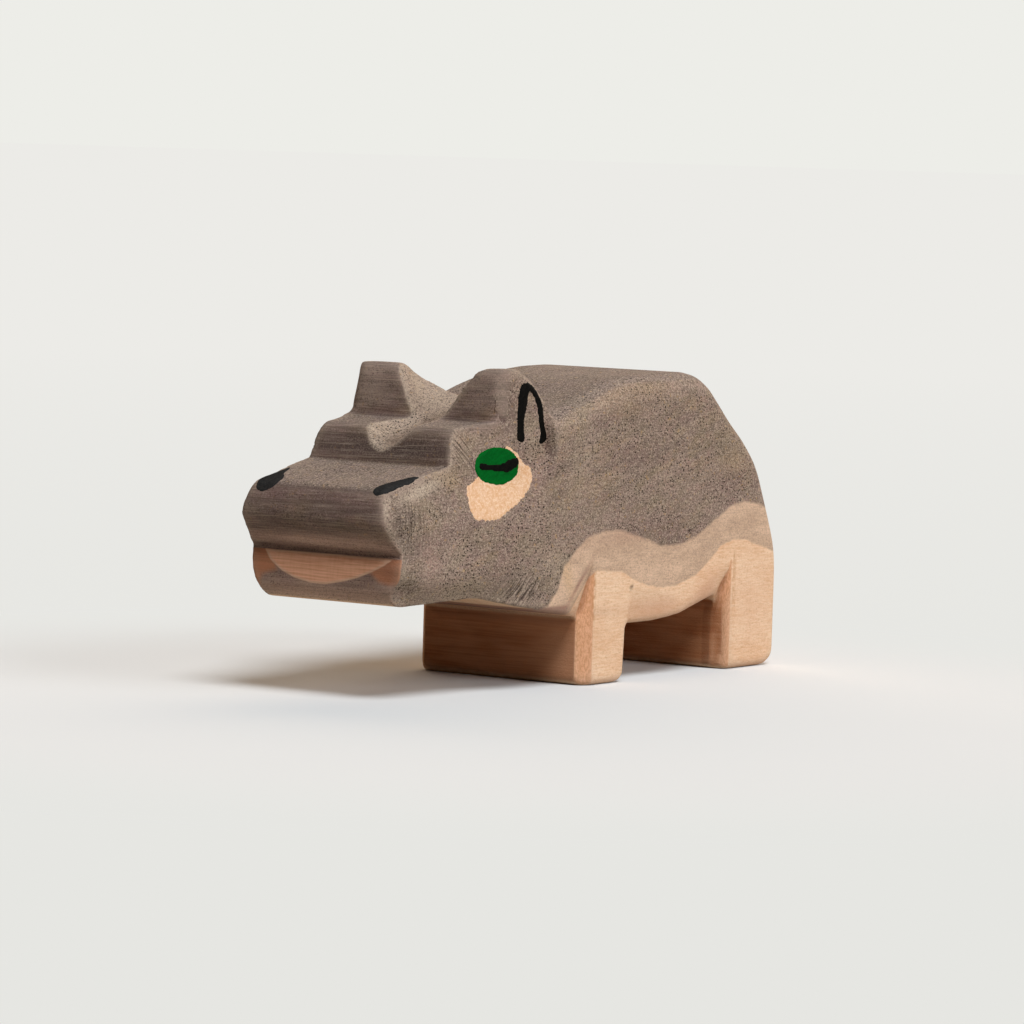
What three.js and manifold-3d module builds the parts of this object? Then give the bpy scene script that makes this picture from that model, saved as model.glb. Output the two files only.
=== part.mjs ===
// A hippo figurine: a side view sawn out of one thick plank, then carved, sanded and painted by hand.
// Millimetres. +X is forward to the nose, +Y is the animal's left and +Z is up.
// The origin is on the ground, under the middle of the figurine.
import * as THREE from "three";
import { ConvexGeometry } from "three/addons/geometries/ConvexGeometry.js";
import { mergeVertices } from "three/addons/utils/BufferGeometryUtils.js";
import Module from "manifold-3d";

const wasm = await Module();
wasm.setup();

// Driving dimensions: the plank and the outline sawn out of it
const PLANK = 40.5; // thickness of the plank, which is the width of the body
const NOSE_X = 65; // tip of the nose
const RUMP_X = -65; // back of the rear legs
const EAR_HEIGHT = 61.6; // top of the ears
const BACK_HEIGHT = 60.1; // top of the back

// Muzzle, seen from the side
const NOSE_TIP_HEIGHT = 33.6; // the nose reaches furthest forward here
const NOSE_TOP_HEIGHT = 39.9;
const NOSE_TOP_SETBACK = 1.3;
const MOUTH_HEIGHT = 27.8; // crease between the lips
const MOUTH_SETBACK = 4.8;
const LIP_SETBACK = 3.9; // the lower lip stands this far behind the nose tip
const LIP_SLOPE = 2.4; // height of the slope from the crease to the lower lip
const JAW_HEIGHT = 17.9;
const CHIN_RADIUS = 8;

// Brow and ears, seen from the side
const BROW_FOOT = { x: 44.5, z: 43.6 }; // where the bridge of the nose meets the brow
const BROW_TOP = { x: 41.2, z: 50.4 };
const EAR_FOOT = { x: 30.6, z: EAR_HEIGHT - 9.9 };
const EAR_FRONT_X = 28.8;
const EAR_LENGTH = 6; // flat top of the ears, front to back
const EAR_BACK = { x: 18, z: EAR_HEIGHT - 3.5 }; // the back of the ears steepens here
const NAPE = { x: 14.2, z: EAR_HEIGHT - 8.7 }; // lowest point of the hollow behind the ears
const NAPE_FALL = 1.8; // the back of the neck is this much lower on the animal's right
const SHOULDER = { x: -8, z: BACK_HEIGHT - 0.5 };

// Rump
const RUMP_TOP_X = -37.6;
const RUMP_BEND = { x: -58.9, z: 41.6 };
const RUMP_LOW = { x: -65, z: 22.6 };

// Legs, belly and throat, seen from the side
const FRONT_LEG_X = 3.8; // front face of the front legs
const FRONT_LEG_LENGTH = 14;
const REAR_LEG_LENGTH = 18.6;
const THROAT_HEIGHT = 13.4; // where the throat meets the front legs
const BELLY_HEIGHT = 11.2;
const BELLY_BEND_X = -26; // the belly starts to rise towards the rear legs here
const ARCH_HEIGHT = 15.8; // top of the gap in front of the rear legs
const THROAT_BEND = { x: 19, z: 15.4 };
const JAW_BACK = { x: 36.5, z: 18.8 };

// Sanded edges where the outline meets the flat sides
const EDGE_RADIUS = 1.1;
const BACK_EDGE_RADIUS = 4.5;
const EAR_CORNER_RADIUS = 2.2; // outer front corners of the ears

// Carved sides of the head, as half widths
const CHEEK_HALF_WIDTH = 20.6; // at the neck
const LIP_HALF_WIDTH = 17.1; // at the mouth
const TEMPLE_HALF_WIDTH = 19.0; // behind the eye
const BRIDGE_HALF_WIDTH = 15.1; // along the top of the muzzle
const HOLLOW_FROM = 31; // the side starts to draw in here, and is drawn in from HOLLOW_TO up
const HOLLOW_TO = 41.5;
const BROW_LEAN = 0.36; // the brow leans in by this much per millimetre of height
const EAR_LEAN = 0.05; // and the ears by this much
const EYE_DISH = 0.7; // extra depth of the hollow round the eye
const DISH = { x: 36.4, z: 43.6, length: 9, height: 6 };
const CHIN_UNDERCUT = 3; // the lower edge of the jaw is rounded in by this much
const NOSE_UNDERCUT = 0.5; // and the front corners of the nose by this much
const HEAD_TWIST = 0.5; // the muzzle is off the middle: its top to the right, its jaw to the left
const TWIST_FROM = 23; // the drift changes over from the jaw to the muzzle between these heights
const TWIST_TO = 31;
const RIGHT_SWELL = 0.9; // the right side of the brow and the right ear are fuller
const HEAD_FROM = 11; // the head narrows from here to the nose
// The head is cut in from the body behind the ears: a step at the top that fades out lower down
const NECK_STEP = { from: 13.8, to: 16.4, foot: 40, head: 47 };
const NECK_FADE = { from: 2, to: 25 };

// Groove between the ears: its bottom from the brow to the nape, and half width squared over depth
const GROOVE = [
  { x: 52, y: -1.8, z: 42.8, spread: 7.5 },
  { x: 43, y: -0.7, z: 46.1, spread: 7.5 },
  { x: 29.5, y: 0.9, z: 50.9, spread: 7 },
  { x: 26, y: 1.3, z: 52.1, spread: 10.5 },
  { x: 22.5, y: 1.7, z: 53.3, spread: 18 },
  { x: 18.4, y: 2, z: 54.2, spread: 28 },
  { x: 8, y: 2.6, z: 56.5, spread: 36 },
  { x: 0, y: 3, z: 58.6, spread: 40 },
];
const GROOVE_DEPTH = 16; // height of the gouge's section
const GROOVE_STEPS = 26;

// Knife cuts on the front corners of the legs
const FRONT_CUT = { depth: 2.7, width: 2.3, apex: 25.8, reach: 6.4, top: 13.6 };
const REAR_CUT = { depth: 1.7, width: 1.5, apex: 22.4, reach: 3.9, top: 14.6 };

// Painted marks, as thin films
const FILM = 0.15; // thickness of a film
const FILM_CLEARANCE = 0.15; // between a film and what it lies on
const MARK_CLEARANCE = 0.3; // between two marks side by side
const IRIS = { x: 30.45, z: 43.4, length: 12.1, height: 7.1 };
// Outlines on the left side of the head, as [x, z]
const PUPIL_OUTLINE = [
  [35.4, 43.9], [33.8, 44.1], [31.6, 43.7], [29.1, 44.1], [26.7, 44.8], [24.8, 45.1],
  [24.1, 44.4], [24.4, 43.6], [26.2, 43.1], [28.8, 42.4], [31.8, 42.3], [34.2, 42.9],
];
const PATCH_OUTLINE = [
  [27.1, 47.6], [24.6, 45.8], [22.9, 44.2], [21.2, 42.4], [20.9, 40.5], [22.2, 38.5], [25.0, 36.6],
  [28.2, 35.0], [32.4, 33.4], [36.4, 33.3], [38.8, 33.9], [39.6, 36.0], [39.7, 38.4], [38.9, 39.9],
  [37.4, 41.4], [34.0, 44.5],
];
// The ear's outline, as [x, share of the way from its foot to its top]
const EAR_OUTLINE_FOOT = 47.5;
const EAR_OUTLINE_TOP = EAR_HEIGHT - 2.7;
const EAR_OUTLINE = [
  [23.6, 0.03], [24.8, 0.08], [24.9, 0.28], [24.8, 0.63], [24.1, 0.89], [22.1, 1.0], [20.4, 0.94],
  [19.0, 0.76], [18.1, 0.6], [17.6, 0.43], [17.1, 0.26], [16.9, 0.11], [17.6, 0.0], [18.3, 0.04],
  [18.4, 0.23], [18.9, 0.47], [19.6, 0.65], [20.9, 0.83], [21.7, 0.71], [22.5, 0.54], [23.1, 0.31],
  [22.9, 0.1],
].map(([x, share]) => [x, EAR_OUTLINE_FOOT + share * (EAR_OUTLINE_TOP - EAR_OUTLINE_FOOT)]);
// Outlines on top of the muzzle, as [x, y]
const LEFT_NOSTRIL_OUTLINE = [
  [63.4, 12.4], [63.2, 14.0], [61.6, 14.5], [58.5, 14.6], [55.5, 14.7], [52.9, 14.8], [55.6, 13.9],
  [58.9, 12.6], [61.6, 12.1],
];
const RIGHT_NOSTRIL_OUTLINE = [
  [63.3, -14.4], [63.6, -12.9], [63.3, -11.4], [62.2, -10.8], [60.8, -11.3], [58.3, -12.9],
  [56.2, -14.2], [53.5, -15.1], [57.5, -15.3], [61.5, -15.2],
];

const STAINED_WOOD = { color: 0x7b6a5e, roughness: 0.72, metalness: 0 };
const CREAM_PAINT = { color: 0xe6bd98, roughness: 0.6, metalness: 0 };
const GREEN_PAINT = { color: 0x065a20, roughness: 0.5, metalness: 0 };
const BLACK_PAINT = { color: 0x1c1715, roughness: 0.55, metalness: 0 };

const HALF = PLANK / 2;
const ARC_STEP = THREE.MathUtils.degToRad(9);
const ARC_LENGTH = 2; // longest chord of a rounded corner
const EDGE_STEPS = 4;
const LONGEST_STEP = 3;
const GRID_STEP = 1.5;
const OVERCUT = 3; // cutting shapes stand out of the wood by this much
const CURVE_STEPS = 3; // points of a mark's curve for each point of its outline
const IRIS_STEPS = 40;
const IRIS_TILT = -0.05; // radians
const BLOCK_DEPTH = 12; // depth of the blocks that the films are cut out with

const { smoothstep, lerp, clamp } = THREE.MathUtils;

/** A closed geometry as a solid that can be joined and cut. */
function solid(geometry) {
  const bare = geometry.index ? geometry.toNonIndexed() : geometry.clone();
  for (const name of Object.keys(bare.attributes)) {
    if (name !== "position") bare.deleteAttribute(name);
  }
  const merged = mergeVertices(bare, 1e-4);
  return new wasm.Manifold(
    new wasm.Mesh({
      numProp: 3,
      vertProperties: merged.attributes.position.array,
      triVerts: new Uint32Array(merged.index.array),
    }),
  );
}

/** A solid as a named mesh of one material. */
function meshOf(name, body, finish) {
  const made = body.getMesh();
  const points = new Float32Array(made.numVert * 3);
  for (let i = 0; i < made.numVert; i++) {
    points.set(made.vertProperties.subarray(i * made.numProp, i * made.numProp + 3), i * 3);
  }
  const geometry = new THREE.BufferGeometry();
  geometry.setAttribute("position", new THREE.BufferAttribute(points, 3));
  geometry.setIndex(new THREE.BufferAttribute(made.triVerts, 1));
  geometry.computeVertexNormals();
  const mesh = new THREE.Mesh(geometry, new THREE.MeshStandardMaterial(finish));
  mesh.name = name;
  return mesh;
}

/** Points along a closed polygon whose corners are rounded, each by its own radius. */
function roundedOutline(corners) {
  const points = [];
  corners.forEach(({ x, z, radius }, i) => {
    const here = new THREE.Vector2(x, z);
    const last = corners[(i + corners.length - 1) % corners.length];
    const next = corners[(i + 1) % corners.length];
    const back = new THREE.Vector2(last.x, last.z).sub(here);
    const on = new THREE.Vector2(next.x, next.z).sub(here);
    const turn = Math.PI - Math.abs(back.angleTo(on));
    const room = 0.49 * Math.min(back.length(), on.length());
    const reach = Math.min(radius * Math.tan(turn / 2), room);
    const start = here.clone().addScaledVector(back.normalize(), reach);
    const end = here.clone().addScaledVector(on.normalize(), reach);
    const inward = back.clone().add(on).normalize();
    const used = reach / Math.tan(turn / 2);
    const centre = here.clone().addScaledVector(inward, used / Math.cos(turn / 2));
    const from = start.clone().sub(centre);
    const sweep = Math.sign(from.cross(end.clone().sub(centre))) * turn;
    const steps = Math.max(2, Math.ceil(turn / ARC_STEP), Math.ceil((turn * used) / ARC_LENGTH));
    for (let k = 0; k <= steps; k++) {
      const spoke = from.clone().rotateAround(new THREE.Vector2(), (sweep * k) / steps);
      points.push(centre.clone().add(spoke));
    }
  });
  return points;
}

/** The same closed outline with its long straight stretches divided. */
function divided(points) {
  return points.flatMap((point, i) => {
    const next = points[(i + 1) % points.length];
    const steps = Math.ceil(point.distanceTo(next) / LONGEST_STEP);
    return Array.from({ length: steps }, (_, k) => point.clone().lerp(next, k / steps));
  });
}

/** The side view of the figurine, from the front legs back, over the rump and down the face. */
function sideView() {
  const rearLegX = RUMP_X + REAR_LEG_LENGTH;
  const earBackX = EAR_FRONT_X - EAR_LENGTH;
  return divided(
    roundedOutline([
      { x: FRONT_LEG_X, z: 0, radius: 1.5 },
      { x: FRONT_LEG_X - FRONT_LEG_LENGTH, z: 0, radius: 2.2 },
      { x: FRONT_LEG_X - FRONT_LEG_LENGTH - 0.5, z: BELLY_HEIGHT, radius: 0.9 },
      { x: BELLY_BEND_X, z: BELLY_HEIGHT, radius: 60 },
      { x: rearLegX, z: ARCH_HEIGHT, radius: 2.6 },
      { x: rearLegX, z: 0, radius: 1.3 },
      { x: RUMP_X, z: 0, radius: 3.8 },
      { x: RUMP_LOW.x, z: RUMP_LOW.z, radius: 30 },
      { x: RUMP_BEND.x, z: RUMP_BEND.z, radius: 12 },
      { x: RUMP_TOP_X, z: BACK_HEIGHT, radius: 14 },
      { x: SHOULDER.x, z: SHOULDER.z, radius: 45 },
      { x: NAPE.x, z: NAPE.z, radius: 1.6 },
      { x: EAR_BACK.x, z: EAR_BACK.z, radius: 8 },
      { x: earBackX, z: EAR_HEIGHT, radius: 4 },
      { x: EAR_FRONT_X, z: EAR_HEIGHT, radius: 2.2 },
      { x: EAR_FOOT.x, z: EAR_FOOT.z, radius: 1.8 },
      { x: BROW_TOP.x, z: BROW_TOP.z, radius: 2.6 },
      { x: BROW_FOOT.x, z: BROW_FOOT.z, radius: 1.1 },
      { x: NOSE_X - NOSE_TOP_SETBACK, z: NOSE_TOP_HEIGHT, radius: 3.6 },
      { x: NOSE_X + 0.4, z: NOSE_TIP_HEIGHT, radius: 3.4 },
      { x: NOSE_X - MOUTH_SETBACK, z: MOUTH_HEIGHT, radius: 0.6 },
      { x: NOSE_X - LIP_SETBACK, z: MOUTH_HEIGHT - LIP_SLOPE, radius: 3.2 },
      { x: NOSE_X - LIP_SETBACK, z: JAW_HEIGHT, radius: CHIN_RADIUS },
      { x: JAW_BACK.x, z: JAW_BACK.z, radius: 14 },
      { x: THROAT_BEND.x, z: THROAT_BEND.z, radius: 30 },
      { x: FRONT_LEG_X, z: THROAT_HEIGHT, radius: 0.9 },
    ]),
  );
}

/** How far the edge is rounded: most along the back, least on the legs and the face. */
function edgeRadius({ x, y: z }) {
  const high = smoothstep(z, 22, 46);
  const behind = 1 - smoothstep(x, EAR_FRONT_X - EAR_LENGTH, EAR_FRONT_X);
  return lerp(EDGE_RADIUS, BACK_EDGE_RADIUS, high * behind);
}

/** How far the top of the neck falls towards the animal's right. */
function napeFall({ x, y, z }) {
  const along = smoothstep(x, -26, -4) * (1 - smoothstep(x, 8, EAR_BACK.x - 3));
  const high = smoothstep(z, BELLY_HEIGHT, NAPE.z);
  return NAPE_FALL * along * high * (0.5 - y / PLANK);
}

/** The sawn plank: the side view through the full thickness, with rounded edges. */
function sawnPlank() {
  const outline = sideView();
  const count = outline.length;
  const inward = outline.map((point, i) => {
    const along = outline[(i + 1) % count].clone().sub(outline[(i + count - 1) % count]).normalize();
    return new THREE.Vector2(along.y, -along.x);
  });
  const rings = [];
  for (const side of [-1, 1]) {
    for (let k = 0; k <= EDGE_STEPS; k++) {
      const angle = ((side < 0 ? EDGE_STEPS - k : k) / EDGE_STEPS) * (Math.PI / 2);
      rings.push(
        outline.map((point, i) => {
          const radius = edgeRadius(point);
          const flat = point.clone().addScaledVector(inward[i], radius * (1 - Math.cos(angle)));
          const place = new THREE.Vector3(flat.x, side * (HALF - radius * (1 - Math.sin(angle))), flat.y);
          place.z -= napeFall(place);
          return place;
        }),
      );
    }
  }
  const points = rings.flat();
  const faces = [];
  for (let ring = 0; ring + 1 < rings.length; ring++) {
    for (let i = 0; i < count; i++) {
      const a = ring * count + i;
      const b = ring * count + ((i + 1) % count);
      faces.push(a, b, a + count, b, b + count, a + count);
    }
  }
  const last = points.length - count;
  const cap = rings[0].map(({ x, z }) => new THREE.Vector2(x, z));
  for (const [a, b, c] of THREE.ShapeUtils.triangulateShape(cap, [])) {
    faces.push(a, b, c, last + a, last + c, last + b);
  }
  const geometry = new THREE.BufferGeometry().setFromPoints(points);
  geometry.setIndex(faces);
  return solid(geometry);
}

/** Depth of a quarter round that ends at a corner, at a distance before the corner. */
function roundedCorner(before, radius) {
  const into = clamp(radius - before, 0, radius);
  return radius - Math.sqrt(radius * radius - into * into);
}

/** Half width of the carved head at a place of the side view, on the side +1 (left) or -1. */
function headHalfWidth(x, z, side) {
  const ahead = clamp((x - HEAD_FROM) / (NOSE_X - HEAD_FROM), 0, 1);
  const low = lerp(CHEEK_HALF_WIDTH, LIP_HALF_WIDTH, ahead);
  const high = lerp(TEMPLE_HALF_WIDTH, BRIDGE_HALF_WIDTH, ahead);
  const drawn = smoothstep(z, HOLLOW_FROM, HOLLOW_TO);
  const brow = smoothstep(x, EAR_FOOT.x, BROW_TOP.x - 3);
  const lean = lerp(EAR_LEAN, BROW_LEAN, brow) * Math.max(0, z - BROW_FOOT.z);
  const dish = Math.exp(-(((x - DISH.x) / DISH.length) ** 2) - ((z - DISH.z) / DISH.height) ** 2);
  const chin = (1 - smoothstep(z, JAW_HEIGHT - 2, JAW_HEIGHT + 6)) * smoothstep(x, 22, 40);
  const nose = smoothstep(x, NOSE_X - MOUTH_SETBACK, NOSE_X);
  const ear = smoothstep(z, EAR_FOOT.z - 0.7, EAR_FOOT.z + 1.5) * (1 - smoothstep(x, EAR_FRONT_X, EAR_FRONT_X + 1.5));
  const twist = side * lerp(HEAD_TWIST, -HEAD_TWIST, smoothstep(z, TWIST_FROM, TWIST_TO)) * ahead;
  const swell = side < 0 ? RIGHT_SWELL * smoothstep(z, BROW_FOOT.z - 1, BROW_TOP.z) : 0;
  const carved =
    lerp(low, high, drawn) +
    twist +
    swell -
    lean -
    EYE_DISH * dish -
    CHIN_UNDERCUT * chin -
    NOSE_UNDERCUT * nose -
    ear * roundedCorner(EAR_FRONT_X - x, EAR_CORNER_RADIUS);
  const sharp = smoothstep(z, NECK_STEP.foot, NECK_STEP.head);
  const from = lerp(NECK_FADE.from, NECK_STEP.from, sharp);
  const to = lerp(NECK_FADE.to, NECK_STEP.to, sharp);
  return lerp(HALF + OVERCUT, carved, smoothstep(x, from, to));
}

/** Stations along the head, close together where its side turns most. */
function headStations() {
  const stations = [];
  let x = NECK_FADE.from - 1;
  while (x < NOSE_X + OVERCUT) {
    stations.push(x);
    const atStep = x > NECK_STEP.from - 1 && x < NECK_STEP.to;
    const atEar = x > EAR_FRONT_X - EAR_CORNER_RADIUS - 0.5 && x < EAR_FRONT_X + 1;
    x += atStep || atEar ? GRID_STEP / 3 : 1.5 * GRID_STEP;
  }
  stations.push(x);
  return stations;
}

/** What is carved off a side of the head, laid out on the left: everything outside its half width. */
function headSideCut(side) {
  const stations = headStations();
  const columns = stations.length - 1;
  const rows = Math.ceil((EAR_HEIGHT + OVERCUT - BELLY_HEIGHT) / GRID_STEP);
  const sheet = new THREE.PlaneGeometry(1, 1, columns, rows);
  const across = columns + 1;
  const inner = [];
  for (let i = 0; i < sheet.attributes.position.count; i++) {
    const x = stations[i % across];
    const z = lerp(EAR_HEIGHT + OVERCUT, BELLY_HEIGHT, Math.floor(i / across) / rows);
    inner.push(new THREE.Vector3(x, headHalfWidth(x, z, side), z));
  }
  const outer = inner.map(({ x, z }) => new THREE.Vector3(x, HALF + 2 * OVERCUT, z));
  const faces = Array.from(sheet.index.array);
  const count = inner.length;
  for (let i = 0; i < sheet.index.count; i += 3) {
    const [a, b, c] = sheet.index.array.slice(i, i + 3);
    faces.push(count + a, count + c, count + b);
  }
  const rim = [];
  for (let i = 0; i < columns; i++) rim.push(i);
  for (let j = 0; j < rows; j++) rim.push(j * across + columns);
  for (let i = columns; i > 0; i--) rim.push(rows * across + i);
  for (let j = rows; j > 0; j--) rim.push(j * across);
  rim.forEach((a, i) => {
    const b = rim[(i + 1) % rim.length];
    faces.push(a, b, count + a, b, count + b, count + a);
  });
  const geometry = new THREE.BufferGeometry().setFromPoints([...inner, ...outer]);
  geometry.setIndex(faces);
  return solid(geometry);
}

/** The gouged groove between the ears: a curved section that climbs and opens towards the back. */
function grooveCut() {
  const points = [];
  for (const { x, y, z, spread } of GROOVE) {
    for (let k = 0; k <= GROOVE_STEPS; k++) {
      const across = (2 * k) / GROOVE_STEPS - 1;
      const reach = Math.sqrt(GROOVE_DEPTH * spread);
      points.push(new THREE.Vector3(x, y + across * reach, z + across * across * GROOVE_DEPTH));
    }
  }
  const size = GROOVE_STEPS + 1;
  const faces = [];
  for (let ring = 0; ring + 1 < GROOVE.length; ring++) {
    for (let k = 0; k < size; k++) {
      const a = ring * size + k;
      const b = ring * size + ((k + 1) % size);
      faces.push(a, b, a + size, b, b + size, a + size);
    }
  }
  const end = (GROOVE.length - 1) * size;
  for (let k = 1; k + 1 < size; k++) faces.push(0, k + 1, k, end, end + k, end + k + 1);
  const geometry = new THREE.BufferGeometry().setFromPoints(points);
  geometry.setIndex(faces);
  return upright(geometry);
}

/** A solid from a geometry that a placing may have turned inside out. */
function upright(geometry) {
  const made = solid(geometry);
  if (made.volume() > 0) return made;
  const faces = geometry.index ? geometry.index.array : null;
  const points = geometry.attributes.position;
  if (faces) {
    for (let i = 0; i < faces.length; i += 3) [faces[i + 1], faces[i + 2]] = [faces[i + 2], faces[i + 1]];
  } else {
    for (let i = 0; i < points.count; i += 3) {
      const b = new THREE.Vector3().fromBufferAttribute(points, i + 1);
      const c = new THREE.Vector3().fromBufferAttribute(points, i + 2);
      points.setXYZ(i + 1, c.x, c.y, c.z);
      points.setXYZ(i + 2, b.x, b.y, b.z);
    }
  }
  return solid(geometry);
}

/** The knife cut on a left leg's front corner: a facet that runs up to a point on the side. */
function legCornerCut(faceX, { depth, width, apex, reach, top }) {
  const along = new THREE.Vector2(-depth, width).normalize();
  const inner = new THREE.Vector2(faceX, HALF - width);
  const outer = new THREE.Vector2(faceX - depth, HALF);
  const innerOut = inner.clone().addScaledVector(along, -1);
  const outerOut = outer.clone().addScaledVector(along, OVERCUT / 2);
  const tip = outer.clone().addScaledVector(along, 0.3);
  const far = HALF + OVERCUT;
  const below = -1;
  return solid(
    new ConvexGeometry([
      new THREE.Vector3(innerOut.x, innerOut.y, below),
      new THREE.Vector3(outerOut.x, outerOut.y, below),
      new THREE.Vector3(faceX + reach, far, below),
      new THREE.Vector3(inner.x, inner.y, top),
      new THREE.Vector3(faceX + 1.3 * reach, HALF + 0.3 * width, top + 1),
      new THREE.Vector3(tip.x, tip.y, apex + 0.3),
      new THREE.Vector3(outerOut.x, outerOut.y, apex - 2),
      new THREE.Vector3(outerOut.x, far, apex - 2),
    ]),
  );
}

/** A copy mirrored to the animal's right. */
function mirrored(body) {
  return body.mirror([0, 1, 0]);
}

function carvedBody() {
  const rearLegX = RUMP_X + REAR_LEG_LENGTH;
  const legCuts = [legCornerCut(FRONT_LEG_X, FRONT_CUT), legCornerCut(rearLegX, REAR_CUT)];
  let body = sawnPlank().subtract(headSideCut(1)).subtract(mirrored(headSideCut(-1)));
  for (const cut of legCuts) body = body.subtract(cut).subtract(mirrored(cut));
  return body.subtract(grooveCut());
}

/** A closed smooth shape through the points of an outline. */
function smoothShape(outline) {
  const points = outline.map(([across, up]) => new THREE.Vector3(across, up, 0));
  const curve = new THREE.CatmullRomCurve3(points, true, "centripetal");
  const steps = CURVE_STEPS * outline.length;
  return new THREE.Shape(
    Array.from({ length: steps }, (_, k) => {
      const { x, y } = curve.getPoint(k / steps);
      return new THREE.Vector2(x, y);
    }),
  );
}

/** An ellipse about the iris's middle, larger than the iris by a margin all round. */
function irisShape(margin) {
  const shape = new THREE.Shape();
  shape.absellipse(
    IRIS.x,
    IRIS.z,
    IRIS.length / 2 + margin,
    IRIS.height / 2 + margin,
    0,
    2 * Math.PI,
    false,
    IRIS_TILT,
  );
  return new THREE.Shape(shape.getPoints(IRIS_STEPS).slice(1));
}

/** A block that stands on the left side of the head over a shape of [x, z]. */
function sideBlock(shape) {
  const geometry = new THREE.ExtrudeGeometry(shape, { depth: BLOCK_DEPTH, bevelEnabled: false });
  geometry.rotateX(Math.PI / 2);
  geometry.translate(0, HALF + OVERCUT, 0);
  return upright(geometry);
}

/** A block that stands on the muzzle over a shape of [x, y]. */
function topBlock(shape) {
  const geometry = new THREE.ExtrudeGeometry(shape, { depth: BLOCK_DEPTH, bevelEnabled: false });
  geometry.translate(0, 0, NOSE_TIP_HEIGHT + 1);
  return upright(geometry);
}

/** The film of paint inside a block: the skin of the body, moved out so that it lies clear of it. */
function film(body, block, outward, layer) {
  const lift = FILM_CLEARANCE + layer * (FILM + FILM_CLEARANCE);
  const under = body.translate(outward.clone().multiplyScalar(lift).toArray());
  const over = body.translate(outward.clone().multiplyScalar(lift + FILM).toArray());
  return over.intersect(block).subtract(under);
}

/** The painted marks of the head on one side, named for it. */
function eyeAndEarFilms(body, side) {
  const left = side > 0 ? body : mirrored(body);
  const outward = new THREE.Vector3(0, 1, 0);
  const iris = sideBlock(irisShape(0));
  const socket = sideBlock(irisShape(MARK_CLEARANCE));
  const patch = sideBlock(smoothShape(PATCH_OUTLINE)).subtract(socket);
  const marks = [
    ["eye_patch", film(left, patch, outward, 0), CREAM_PAINT],
    ["iris", film(left, iris, outward, 0), GREEN_PAINT],
    ["pupil", film(left, sideBlock(smoothShape(PUPIL_OUTLINE)), outward, 1), BLACK_PAINT],
    ["ear_outline", film(left, sideBlock(smoothShape(EAR_OUTLINE)), outward, 0), BLACK_PAINT],
  ];
  const name = side > 0 ? "left" : "right";
  return marks.map(([mark, made, finish]) => meshOf(`${name}_${mark}`, side > 0 ? made : mirrored(made), finish));
}

/** The nostril marks on top of the muzzle. */
function nostrilFilms(body) {
  const outward = new THREE.Vector3(0, 0, 1);
  return [
    ["left_nostril", LEFT_NOSTRIL_OUTLINE],
    ["right_nostril", RIGHT_NOSTRIL_OUTLINE],
  ].map(([name, outline]) => meshOf(name, film(body, topBlock(smoothShape(outline)), outward, 0), BLACK_PAINT));
}

const root = new THREE.Group();
const body = carvedBody();
root.add(meshOf("carved_body", body, STAINED_WOOD));
for (const side of [1, -1]) root.add(...eyeAndEarFilms(body, side));
root.add(...nostrilFilms(body));

export default root;
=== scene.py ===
"""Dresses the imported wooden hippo.

It is one sawn maple plank, carved and sanded, stained grey-brown above and left bare below, with brushed
paint marks.
"""

import logging
import math
import random
from dataclasses import dataclass, field
from enum import Enum
from typing import Protocol

import bmesh
import bpy
import numpy as np
from mathutils import Matrix, Vector
from mathutils.geometry import delaunay_2d_cdt
from mathutils.kdtree import KDTree

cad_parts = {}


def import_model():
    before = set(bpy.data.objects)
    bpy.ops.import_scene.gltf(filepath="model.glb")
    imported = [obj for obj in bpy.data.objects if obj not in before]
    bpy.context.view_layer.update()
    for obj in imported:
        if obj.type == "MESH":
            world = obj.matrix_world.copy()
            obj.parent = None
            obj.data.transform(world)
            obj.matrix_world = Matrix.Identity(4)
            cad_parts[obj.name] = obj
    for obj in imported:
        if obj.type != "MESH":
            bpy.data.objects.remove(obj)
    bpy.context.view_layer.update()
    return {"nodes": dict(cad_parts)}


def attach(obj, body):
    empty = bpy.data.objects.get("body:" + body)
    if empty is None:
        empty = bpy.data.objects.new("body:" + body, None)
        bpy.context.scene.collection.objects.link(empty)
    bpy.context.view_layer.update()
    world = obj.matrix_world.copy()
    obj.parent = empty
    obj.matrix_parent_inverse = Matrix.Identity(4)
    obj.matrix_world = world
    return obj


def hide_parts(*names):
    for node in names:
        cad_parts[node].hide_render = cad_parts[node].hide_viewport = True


MM = 0.001
TINY = 1e-12
BODY = "root"
LOG = logging.getLogger("hippo")

Point = tuple[float, float]
Stretch = tuple[float, float]
Triple = tuple[float, float, float]
Array = np.ndarray
Tree = bpy.types.NodeTree
Socket = bpy.types.NodeSocket
Colour = str | Socket | tuple[float, float, float, float]


class Side(Enum):
    """A side of the animal, with the sign of Y on it."""

    LEFT = 1
    RIGHT = -1


class Facing(Enum):
    """The way in which a paint mark is pressed onto the wood."""

    FLANK = "flank"
    SNOUT = "snout"


class Spread(Protocol):
    """Anything that says how much of a tone shows at each place."""

    def share(self, coat: "Coat") -> Socket:
        """Adds the nodes that give the share, from 0 to 1."""


class BodyAttribute(Enum):
    """The name of an attribute that the body's points carry."""

    def share(self, coat: "Coat") -> Socket:
        """Gives the attribute's value in a coat."""
        return coat.masks[self.value]


class Trace(BodyAttribute):
    """What sawing, cutting, staining and sanding left, and where painted light and shade go: a depth inside an
    outline in millimetres or a share.
    """

    STAIN = "stain_mm"
    WASH = "wash_mm"
    MOUTH = "mouth_mm"
    CORNER = "corner_mm"
    FACET = "facet_mm"
    FACET_EDGE = "facet_edge"
    END_GRAIN = "end_grain"
    SAWN = "sawn"
    GOUGED = "gouged"
    RIDGE = "ridge"
    HOLLOW_STAIN_AND_SHADE = "hollow"
    TOP_SHEEN = "top"
    HATCH_RISING = "hatch_rising"
    HATCH_FALLING = "hatch_falling"
    SCRATCHED = "scratched"


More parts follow.
